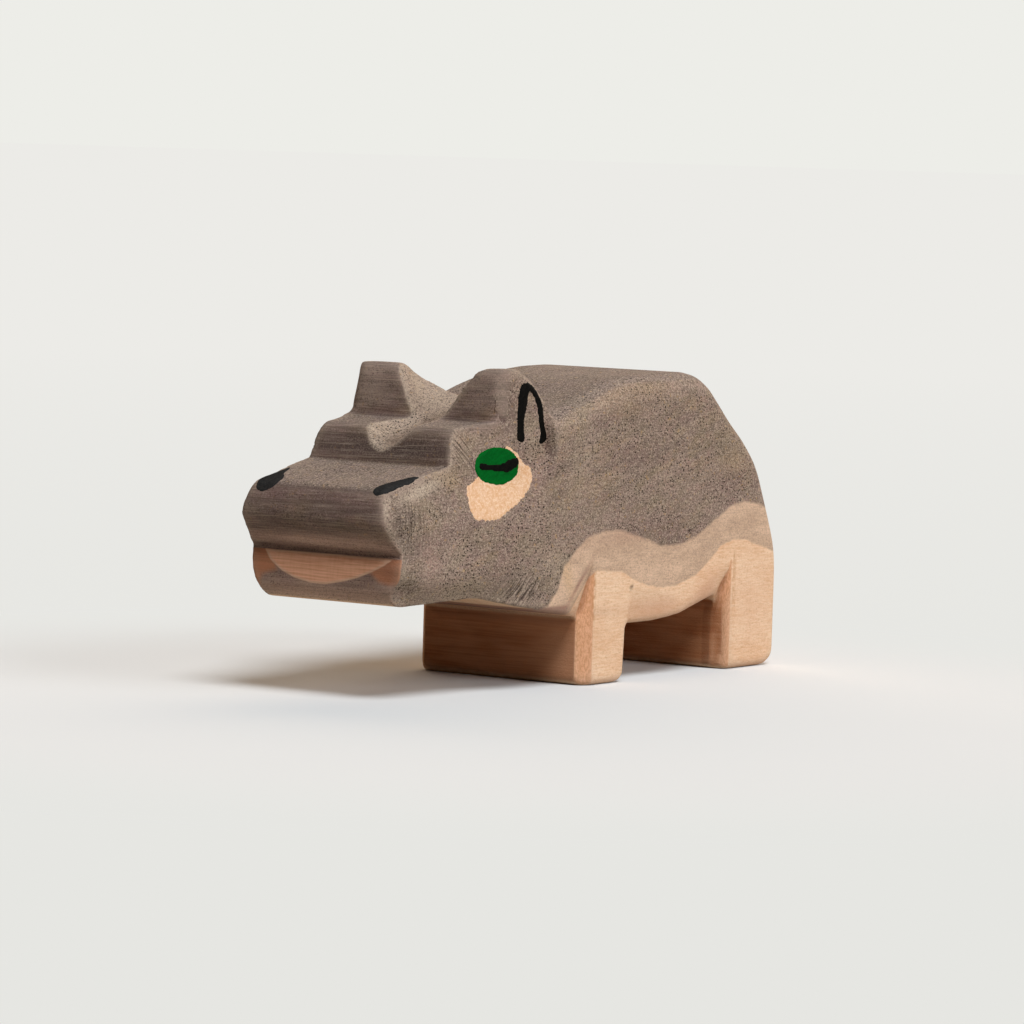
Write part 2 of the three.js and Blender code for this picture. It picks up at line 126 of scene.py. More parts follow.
class Tint(BodyAttribute):
    """A tone laid on in soft spots: mostly where the stain sank in differently, and in a few spots as painted
    light and shade.
    """

    TAN = "tan"
    OLIVE = "olive"
    PLUM = "plum"
    DEEP = "deep"
    PALE = "pale"
    ROSE = "rose"
    THIN_AND_LIT = "thin"


def linear(colour: str) -> tuple[float, float, float, float]:
    """Turns an sRGB hex colour into a linear one.

    Args:
        colour: The colour, such as "#8C796A".

    Returns:
        Linear red, green, blue and a full alpha.
    """
    shares = [int(colour[i:i + 2], 16) / 255 for i in (1, 3, 5)]
    red, green, blue = (
        share / 12.92 if share <= 0.04045 else ((share + 0.055) / 1.055) ** 2.4
        for share in shares
    )
    return red, green, blue, 1.0


def add_node(tree: Tree, kind: str, inputs: dict | None = None, **settings) -> bpy.types.Node:
    """Adds a node with its settings and its links.

    Args:
        tree: The node tree that gets the node.
        kind: The node's type, as bpy names it.
        inputs: A value, or a socket to link from, for each input by index or name.
        **settings: The node's own properties.

    Returns:
        The node.
    """
    made = tree.nodes.new(kind)
    for name, value in settings.items():
        setattr(made, name, value)
    for key, value in (inputs or {}).items():
        if isinstance(value, bpy.types.NodeSocket):
            tree.links.new(value, made.inputs[key])
        else:
            made.inputs[key].default_value = value
    return made


def smooth_step(values: Array, stretch: Stretch) -> Array:
    """Goes smoothly from 0 at a stretch's start to 1 at its end.

    Args:
        values: The values.
        stretch: The start and the end, which may be the lower of the two.

    Returns:
        The step at each value.
    """
    start, end = stretch
    share = np.clip((values - start) / (end - start), 0, 1)
    return share * share * (3 - 2 * share)


def line_distance(points: Array, line: Array) -> Array:
    """Measures how far points are from a line of straight stretches.

    Args:
        points: An array of flat points.
        line: The line's corners, in order.

    Returns:
        The distance of each point.
    """
    nearest = np.full(len(points), np.inf)
    for start, end in zip(line[:-1], line[1:]):
        run = end - start
        share = np.clip((points - start) @ run / max(run @ run, TINY), 0, 1)
        nearest = np.minimum(nearest, np.linalg.norm(points - start - share[:, None] * run, axis=1))
    return nearest


def inside(points: Array, outline: Array) -> Array:
    """Tells which points lie inside a closed outline.

    Args:
        points: An array of flat points.
        outline: The outline's corners.

    Returns:
        True for each point inside.
    """
    held = np.zeros(len(points), bool)
    for (ax, ay), (bx, by) in zip(outline, np.roll(outline, -1, axis=0)):
        spans = (ay > points[:, 1]) != (by > points[:, 1])
        rise = by - ay if by != ay else TINY
        held ^= spans & (points[:, 0] < (bx - ax) * (points[:, 1] - ay) / rise + ax)
    return held


def signed_depth(points: Array, outline: tuple[Point, ...]) -> Array:
    """Measures how deep points lie inside a closed outline.

    Args:
        points: An array of flat points.
        outline: The outline's corners.

    Returns:
        The distance to the outline, above 0 inside it and below 0 outside.
    """
    corners = np.array(outline, float)
    closed = np.vstack([corners, corners[:1]])
    return np.where(inside(points, corners), 1, -1) * line_distance(points, closed)


def neighbour_mean(values: Array, edges: Array) -> Array:
    """Averages each point's neighbours in a net.

    Args:
        values: One row for each point.
        edges: The net's edges.

    Returns:
        The averages.
    """
    start, end = edges.T
    count = np.bincount(edges.ravel(), minlength=len(values))
    columns = []
    for column in values.T:
        total = np.bincount(start, column[end], len(values)) + np.bincount(end, column[start], len(values))
        columns.append(total / count)
    return np.array(columns).T


def mesh_arrays(mesh: bpy.types.Mesh) -> tuple[Array, Array]:
    """Reads a mesh's points and their normals.

    Args:
        mesh: The mesh.

    Returns:
        The points in millimetres and the unit normals.
    """
    points = np.empty(len(mesh.vertices) * 3)
    mesh.vertices.foreach_get("co", points)
    normals = np.empty(len(mesh.vertices) * 3)
    mesh.vertices.foreach_get("normal", normals)
    return points.reshape(-1, 3) / MM, normals.reshape(-1, 3)


def plain_object(name: str, mesh: bpy.types.Mesh, material: bpy.types.Material) -> bpy.types.Object:
    """Puts a finished mesh into the scene at the origin.

    Args:
        name: The piece's name.
        mesh: Its mesh, in metres.
        material: Its material.

    Returns:
        The object.
    """
    mesh.name = name
    mesh.materials.clear()
    mesh.materials.append(material)
    for polygon in mesh.polygons:
        polygon.use_smooth = True
    piece = bpy.data.objects.new(name, mesh)
    bpy.context.scene.collection.objects.link(piece)
    return piece


def shown_to_camera(tree: Tree) -> Socket:
    """Adds the nodes that tell rays of the camera, of gloss and of glass from those that carry light.

    Args:
        tree: The node tree.

    Returns:
        1 for what the camera sees, straight or in a reflection, and 0 for light.
    """
    path = add_node(tree, "ShaderNodeLightPath").outputs
    rays = {0: path["Is Camera Ray"], 1: path["Is Glossy Ray"]}
    direct = add_node(tree, "ShaderNodeMath", rays, operation="MAXIMUM").outputs[0]
    rays = {0: direct, 1: path["Is Transmission Ray"]}
    return add_node(tree, "ShaderNodeMath", rays, operation="MAXIMUM").outputs[0]


@dataclass(frozen=True)
class Coat:
    """A material in the making, with the place on the piece in millimetres and its attributes by name."""

    material: bpy.types.Material
    tree: Tree
    place: Socket
    masks: dict[str, Socket]

    @classmethod
    def started(cls, name: str, attributes: tuple[BodyAttribute, ...] = ()) -> "Coat":
        """Makes a material that holds only the nodes for the place and for the attributes.

        Args:
            name: The material's name.
            attributes: The attributes that it reads.

        Returns:
            The coat.
        """
        material = bpy.data.materials.new(name)
        material.use_nodes = True
        tree = material.node_tree
        tree.nodes.clear()
        metres = add_node(tree, "ShaderNodeTexCoord").outputs["Object"]
        place = add_node(tree, "ShaderNodeVectorMath", {0: metres, 1: (1 / MM,) * 3}, operation="MULTIPLY")
        masks = {
            item.value: add_node(
                tree, "ShaderNodeAttribute", attribute_name=item.value, attribute_type="GEOMETRY",
            ).outputs["Fac"]
            for item in attributes
        }
        return cls(material, tree, place.outputs[0], masks)

    def mixed(self, share: Socket | float, colour: Colour, over: Colour, amount: float = 1.0) -> Socket:
        """Lays one colour over another.

        Args:
            share: How much of the upper colour shows, from 0 to 1.
            colour: The lower colour.
            over: The upper colour.
            amount: The share's full strength.

        Returns:
            The mixed colour.
        """
        if amount != 1.0:
            weighed = add_node(self.tree, "ShaderNodeMath", {0: share, 1: amount}, operation="MULTIPLY")
            share = weighed.outputs[0]
        lower, upper = (linear(tone) if isinstance(tone, str) else tone for tone in (colour, over))
        mixed = add_node(self.tree, "ShaderNodeMix", {0: share, 6: lower, 7: upper}, data_type="RGBA")
        return mixed.outputs[2]

    def layered(self, colour: Colour, *layers: tuple[Spread, Colour, float]) -> Socket:
        """Lays several tones over a colour, in order.

        Args:
            colour: The colour under them.
            *layers: What says where each tone shows, the tone, and its full strength.

        Returns:
            The colour.
        """
        for spread, over, amount in layers:
            colour = self.mixed(spread.share(self), colour, over, amount)
        return colour

    def two_tone(
        self, light: str, dark: str, patterns: tuple[Spread, Spread], balance: float, amount: float = 1.0,
    ) -> Socket:
        """Adds a colour that goes from a light tone to a dark one by two patterns.

        Args:
            light: The light tone.
            dark: The dark tone.
            patterns: The two patterns.
            balance: How much the second pattern counts, from 0 to 1.
            amount: How far the colour goes towards the dark tone.

        Returns:
            The colour.
        """
        first, second = (pattern.share(self) for pattern in patterns)
        shade = add_node(self.tree, "ShaderNodeMix", {0: balance, 2: first, 3: second}).outputs[0]
        return self.mixed(shade, light, dark, amount)

    def glazed(self, colour: Socket, glaze: Triple) -> Socket:
        """Dims a colour, as a thin glaze over it does.

        Args:
            colour: The colour.
            glaze: The shares of red, green and blue that the glaze lets through.

        Returns:
            The dimmed colour.
        """
        colours = {0: 1.0, 6: colour, 7: (*glaze, 1.0)}
        dimmed = add_node(self.tree, "ShaderNodeMix", colours, data_type="RGBA", blend_type="MULTIPLY")
        return dimmed.outputs[2]


@dataclass(frozen=True)
class Pattern:
    """A cloudy pattern, by its patches' size in millimetres along the grain, across the plank and up it."""

    size: Triple
    low: float = 0.35
    high: float = 0.65
    detail: float = 2.0
    turn: Triple = (0.0, 0.0, 0.0)
    raggedness: float = 0.55

    def share(self, coat: Coat) -> Socket:
        """Adds the pattern's nodes.

        Args:
            coat: The coat that gets them.

        Returns:
            The pattern, from 0 to 1.
        """
        turned = add_node(
            coat.tree, "ShaderNodeMapping",
            {"Vector": coat.place, "Rotation": self.turn, "Scale": self.size}, vector_type="TEXTURE",
        )
        noise = add_node(
            coat.tree, "ShaderNodeTexNoise",
            {"Vector": turned.outputs[0], "Scale": 1.0, "Detail": self.detail, "Roughness": self.raggedness},
        )
        ranged = add_node(
            coat.tree, "ShaderNodeMapRange",
            {"Value": noise.outputs[0], "From Min": self.low, "From Max": self.high},
            interpolation_type="SMOOTHSTEP",
        )
        return ranged.outputs[0]


@dataclass(frozen=True)
class Pores:
    """Dark pores, by their spacing and width in millimetres."""

    spacing: Triple
    width: float
    softness: float = 0.12

    def share(self, coat: Coat) -> Socket:
        """Adds the nodes of the pores, no two of one size.

        Args:
            coat: The coat that gets them.

        Returns:
            1 in a pore and 0 between them.
        """
        spread = add_node(
            coat.tree, "ShaderNodeMapping",
            {"Vector": coat.place, "Scale": self.spacing}, vector_type="TEXTURE",
        )
        cells = add_node(
            coat.tree, "ShaderNodeTexVoronoi",
            {"Vector": spread.outputs[0], "Scale": 1.0, "Randomness": 1.0}, feature="F1",
        )
        chance = add_node(coat.tree, "ShaderNodeSeparateColor", {0: cells.outputs["Color"]}).outputs[0]
        reach = add_node(coat.tree, "ShaderNodeMath", {0: chance, 1: self.width}, operation="MULTIPLY")
        depth = add_node(
            coat.tree, "ShaderNodeMath",
            {0: reach.outputs[0], 1: cells.outputs["Distance"]}, operation="SUBTRACT",
        )
        ranged = add_node(
            coat.tree, "ShaderNodeMapRange",
            {"Value": depth.outputs[0], "From Min": -self.softness * 0.5, "From Max": self.softness * 0.5},
            interpolation_type="SMOOTHSTEP",
        )
        return ranged.outputs[0]


@dataclass(frozen=True)
class SoftEdge:
    """A finish that comes in softly at its outline, between two depths inside it in millimetres."""

    trace: Trace
    start: float
    end: float
    full: float = 1.0
    wobble: float = 0.0

    def share(self, coat: Coat) -> Socket:
        """Adds the edge's nodes.

        Args:
            coat: The coat that gets them.

        Returns:
            How much of the finish shows.
        """
        depth = self.trace.share(coat)
        if self.wobble:
            waves = Pattern((1.6, 1.6, 1.6), 0.3, 0.7).share(coat)
            swing = {"Value": waves, "To Min": -self.wobble, "To Max": self.wobble}
            shift = add_node(coat.tree, "ShaderNodeMapRange", swing).outputs[0]
            depth = add_node(coat.tree, "ShaderNodeMath", {0: depth, 1: shift}, operation="ADD").outputs[0]
        ranged = add_node(
            coat.tree, "ShaderNodeMapRange",
            {"Value": depth, "From Min": self.start, "From Max": self.end, "To Max": self.full},
            interpolation_type="SMOOTHSTEP",
        )
        return ranged.outputs[0]


@dataclass(frozen=True, kw_only=True)
class Finish:
    """What every finish on the wood has, with the depth of its fine relief in millimetres."""

    name: str
    roughness: float
    gloss: float
    ior: float
    relief: float
    relief_depth: float

    def closed(self, coat: Coat, colour: Socket, height: Socket) -> bpy.types.Material:
        """Adds the fine relief, the shader and the output.

        Args:
            coat: The coat.
            colour: Its colour.
            height: Its fine height, from 0 to 1.

        Returns:
            The finished material.
        """
        bump = add_node(
            coat.tree, "ShaderNodeBump",
            {"Height": height, "Strength": self.relief, "Distance": self.relief_depth * MM},
        )
        shader = add_node(
            coat.tree, "ShaderNodeBsdfPrincipled",
            {
                "Base Color": colour, "Roughness": self.roughness, "IOR": self.ior,
                "Specular IOR Level": self.gloss, "Normal": bump.outputs[0],
            },
        )
        add_node(coat.tree, "ShaderNodeOutputMaterial", {"Surface": shader.outputs[0]})
        return coat.material


@dataclass(frozen=True, kw_only=True)
class StainedMaple(Finish):
    """Maple, planed, carved and sanded, with a water stain brushed on in two strengths over its upper part.

    Maple is close and pale, with short pinkish fibres along the plank and thin growth lines. The water stain
    sinks in unevenly: it goes dark in the pores, thin on sharp edges, and dries to a soft lighter wash at its
    foot. The real pores are too fine to show, so they are drawn about 0.3 mm wide. Slants are in radians.
    """

    name: str = "maple_sanded_water_stained"
    roughness: float = 0.8
    gloss: float = 0.03
    ior: float = 1.45
    relief: float = 0.3
    relief_depth: float = 0.1
    bare_light: str = "#F2CCAA"
    bare_dark: str = "#E0AE87"
    bare_fleck: str = "#B67F55"
    bare_rose: str = "#D59F7F"
    end_light: str = "#BF8560"
    end_dark: str = "#A4653F"
    wash_light: str = "#DFB99B"
    wash_dark: str = "#C19F84"
    stain_grey: str = "#998071"
    plum_stain_and_shade: str = "#83685F"
    stain_olive: str = "#907C65"
    tan_stain_and_highlight: str = "#AA8B6A"
    deep_stain_and_shade: str = "#5C4C44"
    stain_rose: str = "#A38274"
    top_sheen_slate: str = "#776C67"
    stain_thin: str = "#DDB49B"
    throat: str = "#8F6354"
    pore: str = "#382D27"
    facet_light: str = "#E3A984"
    facet_dark: str = "#C08658"
    mouth_light: str = "#FBBE9A"
    mouth_dark: str = "#CC8560"
    corner: str = "#B97C5A"
    corner_dark: str = "#8F5C42"
    ochre: str = "#C69A5E"
    wear_and_highlight: str = "#CBB39C"
    pores: Pores = Pores((0.56, 0.4, 0.4), 0.45)
    end_glaze: Triple = (0.86, 0.82, 0.86)
    pooled_stain_and_shade_glaze: Triple = (0.4, 0.32, 0.28)
    scratch_slants: tuple[tuple[Trace, float], ...] = (
        (Trace.HATCH_RISING, 0.82), (Trace.HATCH_FALLING, -0.82), (Trace.SCRATCHED, 1.42),
    )

    def material(self) -> bpy.types.Material:
        """Builds the wood's material, from the bare wood up to the marks of hand sanding.

        Returns:
            The material.
        """
        coat = Coat.started(self.name, (*Trace, *Tint))
        colour = coat.layered(
            self.facet_wood(coat, self.bare_wood(coat)),
            (SoftEdge(Trace.WASH, -0.25, 0.3, wobble=0.1), self.washed_wood(coat), 1.0),
            (SoftEdge(Trace.STAIN, -0.4, 0.45, wobble=0.1), self.stained_wood(coat), 1.0),
        )
        colour = self.hand_sanded(coat, self.mouth_tint(coat, colour))
        return self.closed(coat, colour, self.fine_height(coat))

    def bare_wood(self, coat: Coat) -> Socket:
        """Adds bare maple: pale along the plank, with short fibres and tiny flecks, and redder on sawn ends.

        Args:
            coat: The coat.

        Returns:
            The colour.
        """
        cloud = Pattern((14.0, 9.0, 5.0), 0.3, 0.7)
        fibre = Pattern((2.2, 0.5, 0.26), 0.36, 0.68, 3.0)
        lines = Pattern((30.0, 16.0, 0.34), 0.38, 0.66, 3.0)
        broad = Pattern((30.0, 12.0, 2.4), 0.35, 0.68, 1.0)
        sawn = coat.layered(
            coat.two_tone(self.end_light, self.end_dark, (lines, broad), 0.5),
            # On bare sawn ends these spots lighten the front legs as painted light, against the shade under
            # the jaw and on their near side.
            (Tint.THIN_AND_LIT, self.facet_light, 0.6),
        )
        return coat.layered(
            coat.two_tone(self.bare_light, self.bare_dark, (cloud, fibre), 0.55),
            (Pores((1.2, 0.5, 0.5), 0.34), self.bare_fleck, 0.25),
            (Pattern((0.42, 0.3, 0.3), 0.46, 0.68, 1.0), self.bare_fleck, 0.17),
            (Tint.ROSE, self.bare_rose, 1.0),
            (Tint.DEEP, self.pore, 1.0),
            (Tint.PLUM, self.throat, 0.85),
            (Trace.SAWN, sawn, 1.0),
        )

    def washed_wood(self, coat: Coat) -> Socket:
        """Adds the thin wash at the stain's foot, which is darkest along its own lower edge.

        Args:
            coat: The coat.

        Returns:
            The colour.
        """
        cloud = Pattern((8.0, 6.0, 3.2), 0.3, 0.7)
        speck = Pattern((0.5, 0.3, 0.3), 0.35, 0.65, 1.0)
        return coat.layered(
            coat.two_tone(self.wash_light, self.wash_dark, (cloud, speck), 0.4),
            (SoftEdge(Trace.WASH, 1.3, 0.1, full=0.4), self.wash_dark, 1.0),
            (Tint.PLUM, self.throat, 0.85),
            (Tint.OLIVE, self.ochre, 0.5),
            (Tint.ROSE, self.stain_rose, 0.6),
            (Pattern((0.42, 0.3, 0.3), 0.46, 0.68, 1.0, (0.4, 0.3, 0.2)), self.deep_stain_and_shade, 0.2),
            (Pattern((3.4, 0.6, 0.26), 0.46, 0.7, 2.0), self.stain_grey, 0.26),
            (Pores((0.8, 0.55, 0.55), 0.32), self.deep_stain_and_shade, 0.28),
        )

    def stained_wood(self, coat: Coat) -> Socket:
        """Adds the full stain: mottled grey, plum, olive and tan, with dark pores, and lines on sawn ends.

        Args:
            coat: The coat.

        Returns:
            The colour.
        """
        colour = coat.layered(
            self.stain_grey,
            (Pattern((16.0, 11.0, 5.0), 0.42, 0.66, turn=(0.0, 0.2, 0.0)), self.plum_stain_and_shade, 0.65),
            (Pattern((9.0, 7.0, 4.0), 0.46, 0.68, turn=(0.3, 0.2, 0.9)), self.stain_olive, 0.6),
            (Pattern((14.0, 8.0, 3.2), 0.52, 0.72, turn=(0.0, 0.25, 0.0)), self.tan_stain_and_highlight, 0.4),
            (Pattern((26.0, 14.0, 2.2), 0.5, 0.72, turn=(0.0, 0.3, 0.1)), self.deep_stain_and_shade, 0.34),
            (Pattern((4.2, 3.0, 2.2), 0.48, 0.66, turn=(0.2, 0.5, 0.1)), self.stain_olive, 0.4),
            (Pattern((3.6, 3.0, 2.4), 0.5, 0.68, turn=(0.6, 0.1, 0.4)), self.stain_rose, 0.4),
            (Pattern((3.0, 3.0, 1.6), 0.52, 0.7, turn=(0.1, 0.4, 0.8)), self.deep_stain_and_shade, 0.22),
            # Faces turned upwards go darker and bluer grey, as painted sheen and shade.
            (Trace.TOP_SHEEN, self.top_sheen_slate, 0.5),
            # The spots' tones: mostly stain, and in a few spots painted shade and painted highlight.
            (Tint.TAN, self.tan_stain_and_highlight, 1.0),
            (Tint.OLIVE, self.stain_olive, 1.0),
            (Tint.PLUM, self.plum_stain_and_shade, 1.0),
            (Tint.DEEP, self.deep_stain_and_shade, 1.0),
            (Tint.PALE, self.wear_and_highlight, 1.0),
            (Tint.ROSE, self.stain_rose, 1.0),
            (Tint.THIN_AND_LIT, self.stain_thin, 1.0),
            (Trace.GOUGED, self.wear_and_highlight, 0.42),
        )
        ochre_spots = Pattern((1.1, 0.8, 0.8), 0.67, 0.76, 1.0)
        colour = coat.layered(self.salt_and_pepper(coat, colour), (ochre_spots, self.ochre, 0.3))
        return self.growth_lines(coat, colour)

    def salt_and_pepper(self, coat: Coat, plain: Socket) -> Socket:
        """Adds the fine grain of stained maple: pale specks, dark specks and pores, fewer on sawn ends.

        Args:
            coat: The coat.
            plain: The colour under it.

        Returns:
            The colour.
        """
        speckled = coat.layered(
            plain,
            (Pattern((0.42, 0.32, 0.32), 0.46, 0.66, 1.0), self.wear_and_highlight, 0.46),
            (Pattern((0.38, 0.28, 0.28), 0.48, 0.66, 1.0, (0.5, 0.4, 0.3)), self.pore, 0.46),
            (Pattern((4.5, 0.6, 0.28), 0.46, 0.7, 2.0), self.deep_stain_and_shade, 0.3),
        )
        patches = Pattern((12.0, 9.0, 7.0), 0.34, 0.62).share(coat)
        sinking = add_node(coat.tree, "ShaderNodeMapRange", {"Value": patches, "To Min": 0.4, "To Max": 1.0})
        filled = {0: self.pores.share(coat), 1: sinking.outputs[0]}
        dark = add_node(coat.tree, "ShaderNodeMath", filled, operation="MULTIPLY").outputs[0]
        pored = coat.mixed(dark, speckled, self.pore)
        return coat.layered(pored, (Trace.END_GRAIN, plain, 0.5))

    def growth_lines(self, coat: Coat, colour: Socket) -> Socket:
        """Darkens the stained sawn ends and draws growth lines across them, less where the stain is thin.

        Args:
            coat: The coat.
            colour: The colour under them.

        Returns:
            The colour.
        """
        thinned = {"Value": Tint.THIN_AND_LIT.share(coat), "To Min": 1.0, "To Max": 0.4}
        held = add_node(coat.tree, "ShaderNodeMapRange", thinned).outputs[0]
        ends = {0: Trace.END_GRAIN.share(coat), 1: held}
        lined = add_node(coat.tree, "ShaderNodeMath", ends, operation="MULTIPLY").outputs[0]
        colour = coat.mixed(lined, colour, coat.glazed(colour, self.end_glaze))
        for pattern, over, amount in (
            (Pattern((30.0, 12.0, 0.26), 0.4, 0.66, 3.0), self.pore, 0.36),
            (Pattern((30.0, 22.0, 1.7), 0.45, 0.7, 1.0), self.deep_stain_and_shade, 0.34),
            (Pattern((30.0, 9.0, 0.24), 0.52, 0.7, 2.0, (0.03, 0.0, 0.0)), self.wear_and_highlight, 0.24),
        ):
            shown = {0: pattern.share(coat), 1: lined}
            lines = add_node(coat.tree, "ShaderNodeMath", shown, operation="MULTIPLY").outputs[0]
            colour = coat.mixed(lines, colour, over, amount)
        return colour

    def facet_wood(self, coat: Coat, bare: Socket) -> Socket:
        """Adds the legs' knife-cut facets: cut fibres show as upright orange streaks, browner at the edge.

        Args:
            coat: The coat.
            bare: The colour of bare wood.

        Returns:
            The colour.
        """
        streaks = Pattern((0.3, 0.3, 0.7), 0.34, 0.68, 3.0)
        cut = coat.layered(self.facet_light, (streaks, self.facet_dark, 0.7))
        colour = coat.layered(bare, (SoftEdge(Trace.FACET, -0.1, 0.2), cut, 1.0))
        frayed = {0: Trace.FACET_EDGE.share(coat), 1: Pattern((0.5, 0.5, 0.9), 0.3, 0.6).share(coat)}
        edge = add_node(coat.tree, "ShaderNodeMath", frayed, operation="MULTIPLY").outputs[0]
        return coat.mixed(edge, colour, self.facet_dark, 0.85)

    def mouth_tint(self, coat: Coat, colour: Socket) -> Socket:
        """Adds the mouth, an arc left free of stain and rubbed with a thin reddish tint, paler along its rim.

        Args:
            coat: The coat.
            colour: The colour under it.

        Returns:
            The colour.
        """
        lines = Pattern((9.0, 9.0, 0.3), 0.3, 0.7, 3.0)
        ripples = Pattern((9.0, 0.6, 4.0), 0.4, 0.7, 1.0)
        arc = coat.layered(
            coat.two_tone(self.mouth_light, self.mouth_dark, (lines, ripples), 0.14, 0.7),
            (SoftEdge(Trace.MOUTH, 0.75, 0.2), self.wear_and_highlight, 0.35),
        )
        corner = coat.layered(self.mouth_dark, (lines, self.corner, 1.0), (Tint.ROSE, self.corner_dark, 0.75))
        return coat.layered(
            colour,
            (SoftEdge(Trace.CORNER, -1.0, 0.5), corner, 0.85),
            (SoftEdge(Trace.MOUTH, -0.12, 0.22), arc, 1.0),
        )

    def hand_sanded(self, coat: Coat, colour: Socket) -> Socket:
        """Adds fine slanting scratches from hand sanding, lighter ridges from wear and painted highlight, and
        darker hollows from pooled stain and painted shade.

        Args:
            coat: The coat.
            colour: The colour under it.

        Returns:
            The colour.
        """
        tree = coat.tree
        for trace, slant in self.scratch_slants:
            patch = trace.share(coat)
            lines = Pattern((5.0, 5.0, 0.34), 0.43, 0.6, 1.0, (0.0, slant, 0.0)).share(coat)
            dark = add_node(tree, "ShaderNodeMath", {0: lines, 1: patch}, operation="MULTIPLY").outputs[0]
            pale = add_node(tree, "ShaderNodeMath", {0: patch, 1: dark}, operation="SUBTRACT").outputs[0]
            colour = coat.mixed(dark, coat.mixed(pale, colour, self.wear_and_highlight, 0.16), self.pore, 0.62)
        # Ridges go lighter, partly from wear and partly as painted highlight.
        colour = coat.layered(colour, (Trace.RIDGE, self.wear_and_highlight, 0.15))
        # Hollows and creases go darker, partly from stain pooled there and partly as painted shade.
        return coat.layered(colour, (Trace.HOLLOW_STAIN_AND_SHADE, coat.glazed(colour, self.pooled_stain_and_shade_glaze), 0.5))

    def fine_height(self, coat: Coat) -> Socket:
        """Adds the wood's fine relief: raised fibres, with the pores sunk into them.

        Args:
            coat: The coat.

        Returns:
            The height.
        """
        levels = {0: Pattern((0.6, 0.3, 0.3), 0.3, 0.7, 3.0).share(coat), 1: self.pores.share(coat)}
        return add_node(coat.tree, "ShaderNodeMath", levels, operation="SUBTRACT").outputs[0]


@dataclass(frozen=True, kw_only=True)
class BrushedPaint(Finish):
    """Hobby paint laid on with a small brush, thin enough for the wood's grain to show through it."""

    colour: str
    shade: str
    light: str
    patch: Triple
    shade_share: float
    light_share: float
    gloss: float = 0.02
    ior: float = 1.47
    relief: float = 0.5
    relief_depth: float = 0.08
    stroke_turn: Triple = (0.0, 0.5, 0.0)

    def material(self) -> bpy.types.Material:
        """Builds the paint: one pigment, thicker and thinner by the stroke, with grain specks through it.

        Returns:
            The material.
        """
        coat = Coat.started(self.name)
        colour = coat.layered(
            self.colour,
            (Pattern(self.patch, 0.38, 0.66, turn=self.stroke_turn), self.shade, self.shade_share),
            (Pattern((0.4, 0.34, 0.34), 0.46, 0.68, 1.0), self.light, self.light_share),
        )
        bristle_marks = Pattern((1.4, 0.4, 0.4), 0.3, 0.7, 3.0, self.stroke_turn)
        return self.closed(coat, colour, bristle_marks.share(coat))


@dataclass(frozen=True)
class StudioPaper:
    """Matt background paper, off-white, which runs out of the lamp's light into an even pale ground."""

    name: str = "paper_matt_background"
    colour: str = "#ADABA6"
    seen: tuple[float, float, float, float] = (0.765, 0.747, 0.728, 1.0)
    clouding: float = 0.012
    near_tone: str = "#E6E6E2"
    far_tone: str = "#ECEBE7"
    far_direction: Triple = (0.82, 0.57, 0.0)
    far_from: float = 300.0
    far_to: float = -1500.0
    fade_middle: Triple = (40.0, 30.0, 0.0)
    fade_from: float = 90.0
    fade_to: float = 190.0

    def material(self) -> bpy.types.Material:
        """Builds the paper's material: faintly cloudy from its fibres, and evenly pale away from the animal.

        Returns:
            The material.
        """
        coat = Coat.started(self.name)
        tree = coat.tree
        shown = shown_to_camera(tree)
        seen = coat.layered(self.seen, (Pattern((70.0, 70.0, 70.0), 0.3, 0.7), self.colour, self.clouding))
        colour = coat.mixed(shown, self.colour, seen)
        lit = add_node(tree, "ShaderNodeBsdfDiffuse", {"Color": colour}).outputs[0]
        depth = add_node(
            tree, "ShaderNodeVectorMath", {0: coat.place, 1: self.far_direction}, operation="DOT_PRODUCT",
        )
        farness = add_node(
            tree, "ShaderNodeMapRange",
            {"Value": depth.outputs["Value"], "From Min": self.far_from, "From Max": self.far_to},
        )
        tone = coat.mixed(farness.outputs[0], self.near_tone, self.far_tone)
        even = add_node(tree, "ShaderNodeEmission", {"Color": tone, "Strength": 1.0}).outputs[0]
        away = add_node(
            tree, "ShaderNodeVectorMath", {0: coat.place, 1: self.fade_middle}, operation="DISTANCE",
        )
        fade = add_node(
            tree, "ShaderNodeMapRange",
            {"Value": away.outputs["Value"], "From Min": self.fade_from, "From Max": self.fade_to},
            interpolation_type="SMOOTHSTEP",
        )
        share = add_node(tree, "ShaderNodeMath", {0: fade.outputs[0], 1: shown}, operation="MULTIPLY")
        mixed = add_node(tree, "ShaderNodeMixShader", {0: share.outputs[0], 1: lit, 2: even})
        add_node(tree, "ShaderNodeOutputMaterial", {"Surface": mixed.outputs[0]})
        return coat.material


@dataclass
class PhotographCamera:
    """The camera, at the photograph's angle and distance, with its position in millimetres."""

    position: Triple = (832.15, 579.54, 103.38)
    backward: Triple = (0.81839, 0.57040, 0.06983)
    rightward: Triple = (-0.57326, 0.81883, 0.02992)
    lens: float = 182.8125
    sensor: float = 36.0
    furthest: float = 100.0

    def place(self) -> bpy.types.Object:
        """Adds the camera and makes it the scene's own.

        Returns:
            The camera.
        """
        back = Vector(self.backward).normalized()
        right = Vector(self.rightward)
        right = (right - right.dot(back) * back).normalized()
        turned = Matrix((right, back.cross(right), back)).transposed().to_4x4()
        data = bpy.data.cameras.new("photograph_camera")
        data.lens = self.lens
        data.sensor_width = self.sensor
        data.clip_end = self.furthest
        camera = bpy.data.objects.new("photograph_camera", data)
        camera.matrix_world = Matrix.Translation(Vector(self.position) * MM) @ turned
        bpy.context.scene.collection.objects.link(camera)
        bpy.context.scene.camera = camera
        return camera


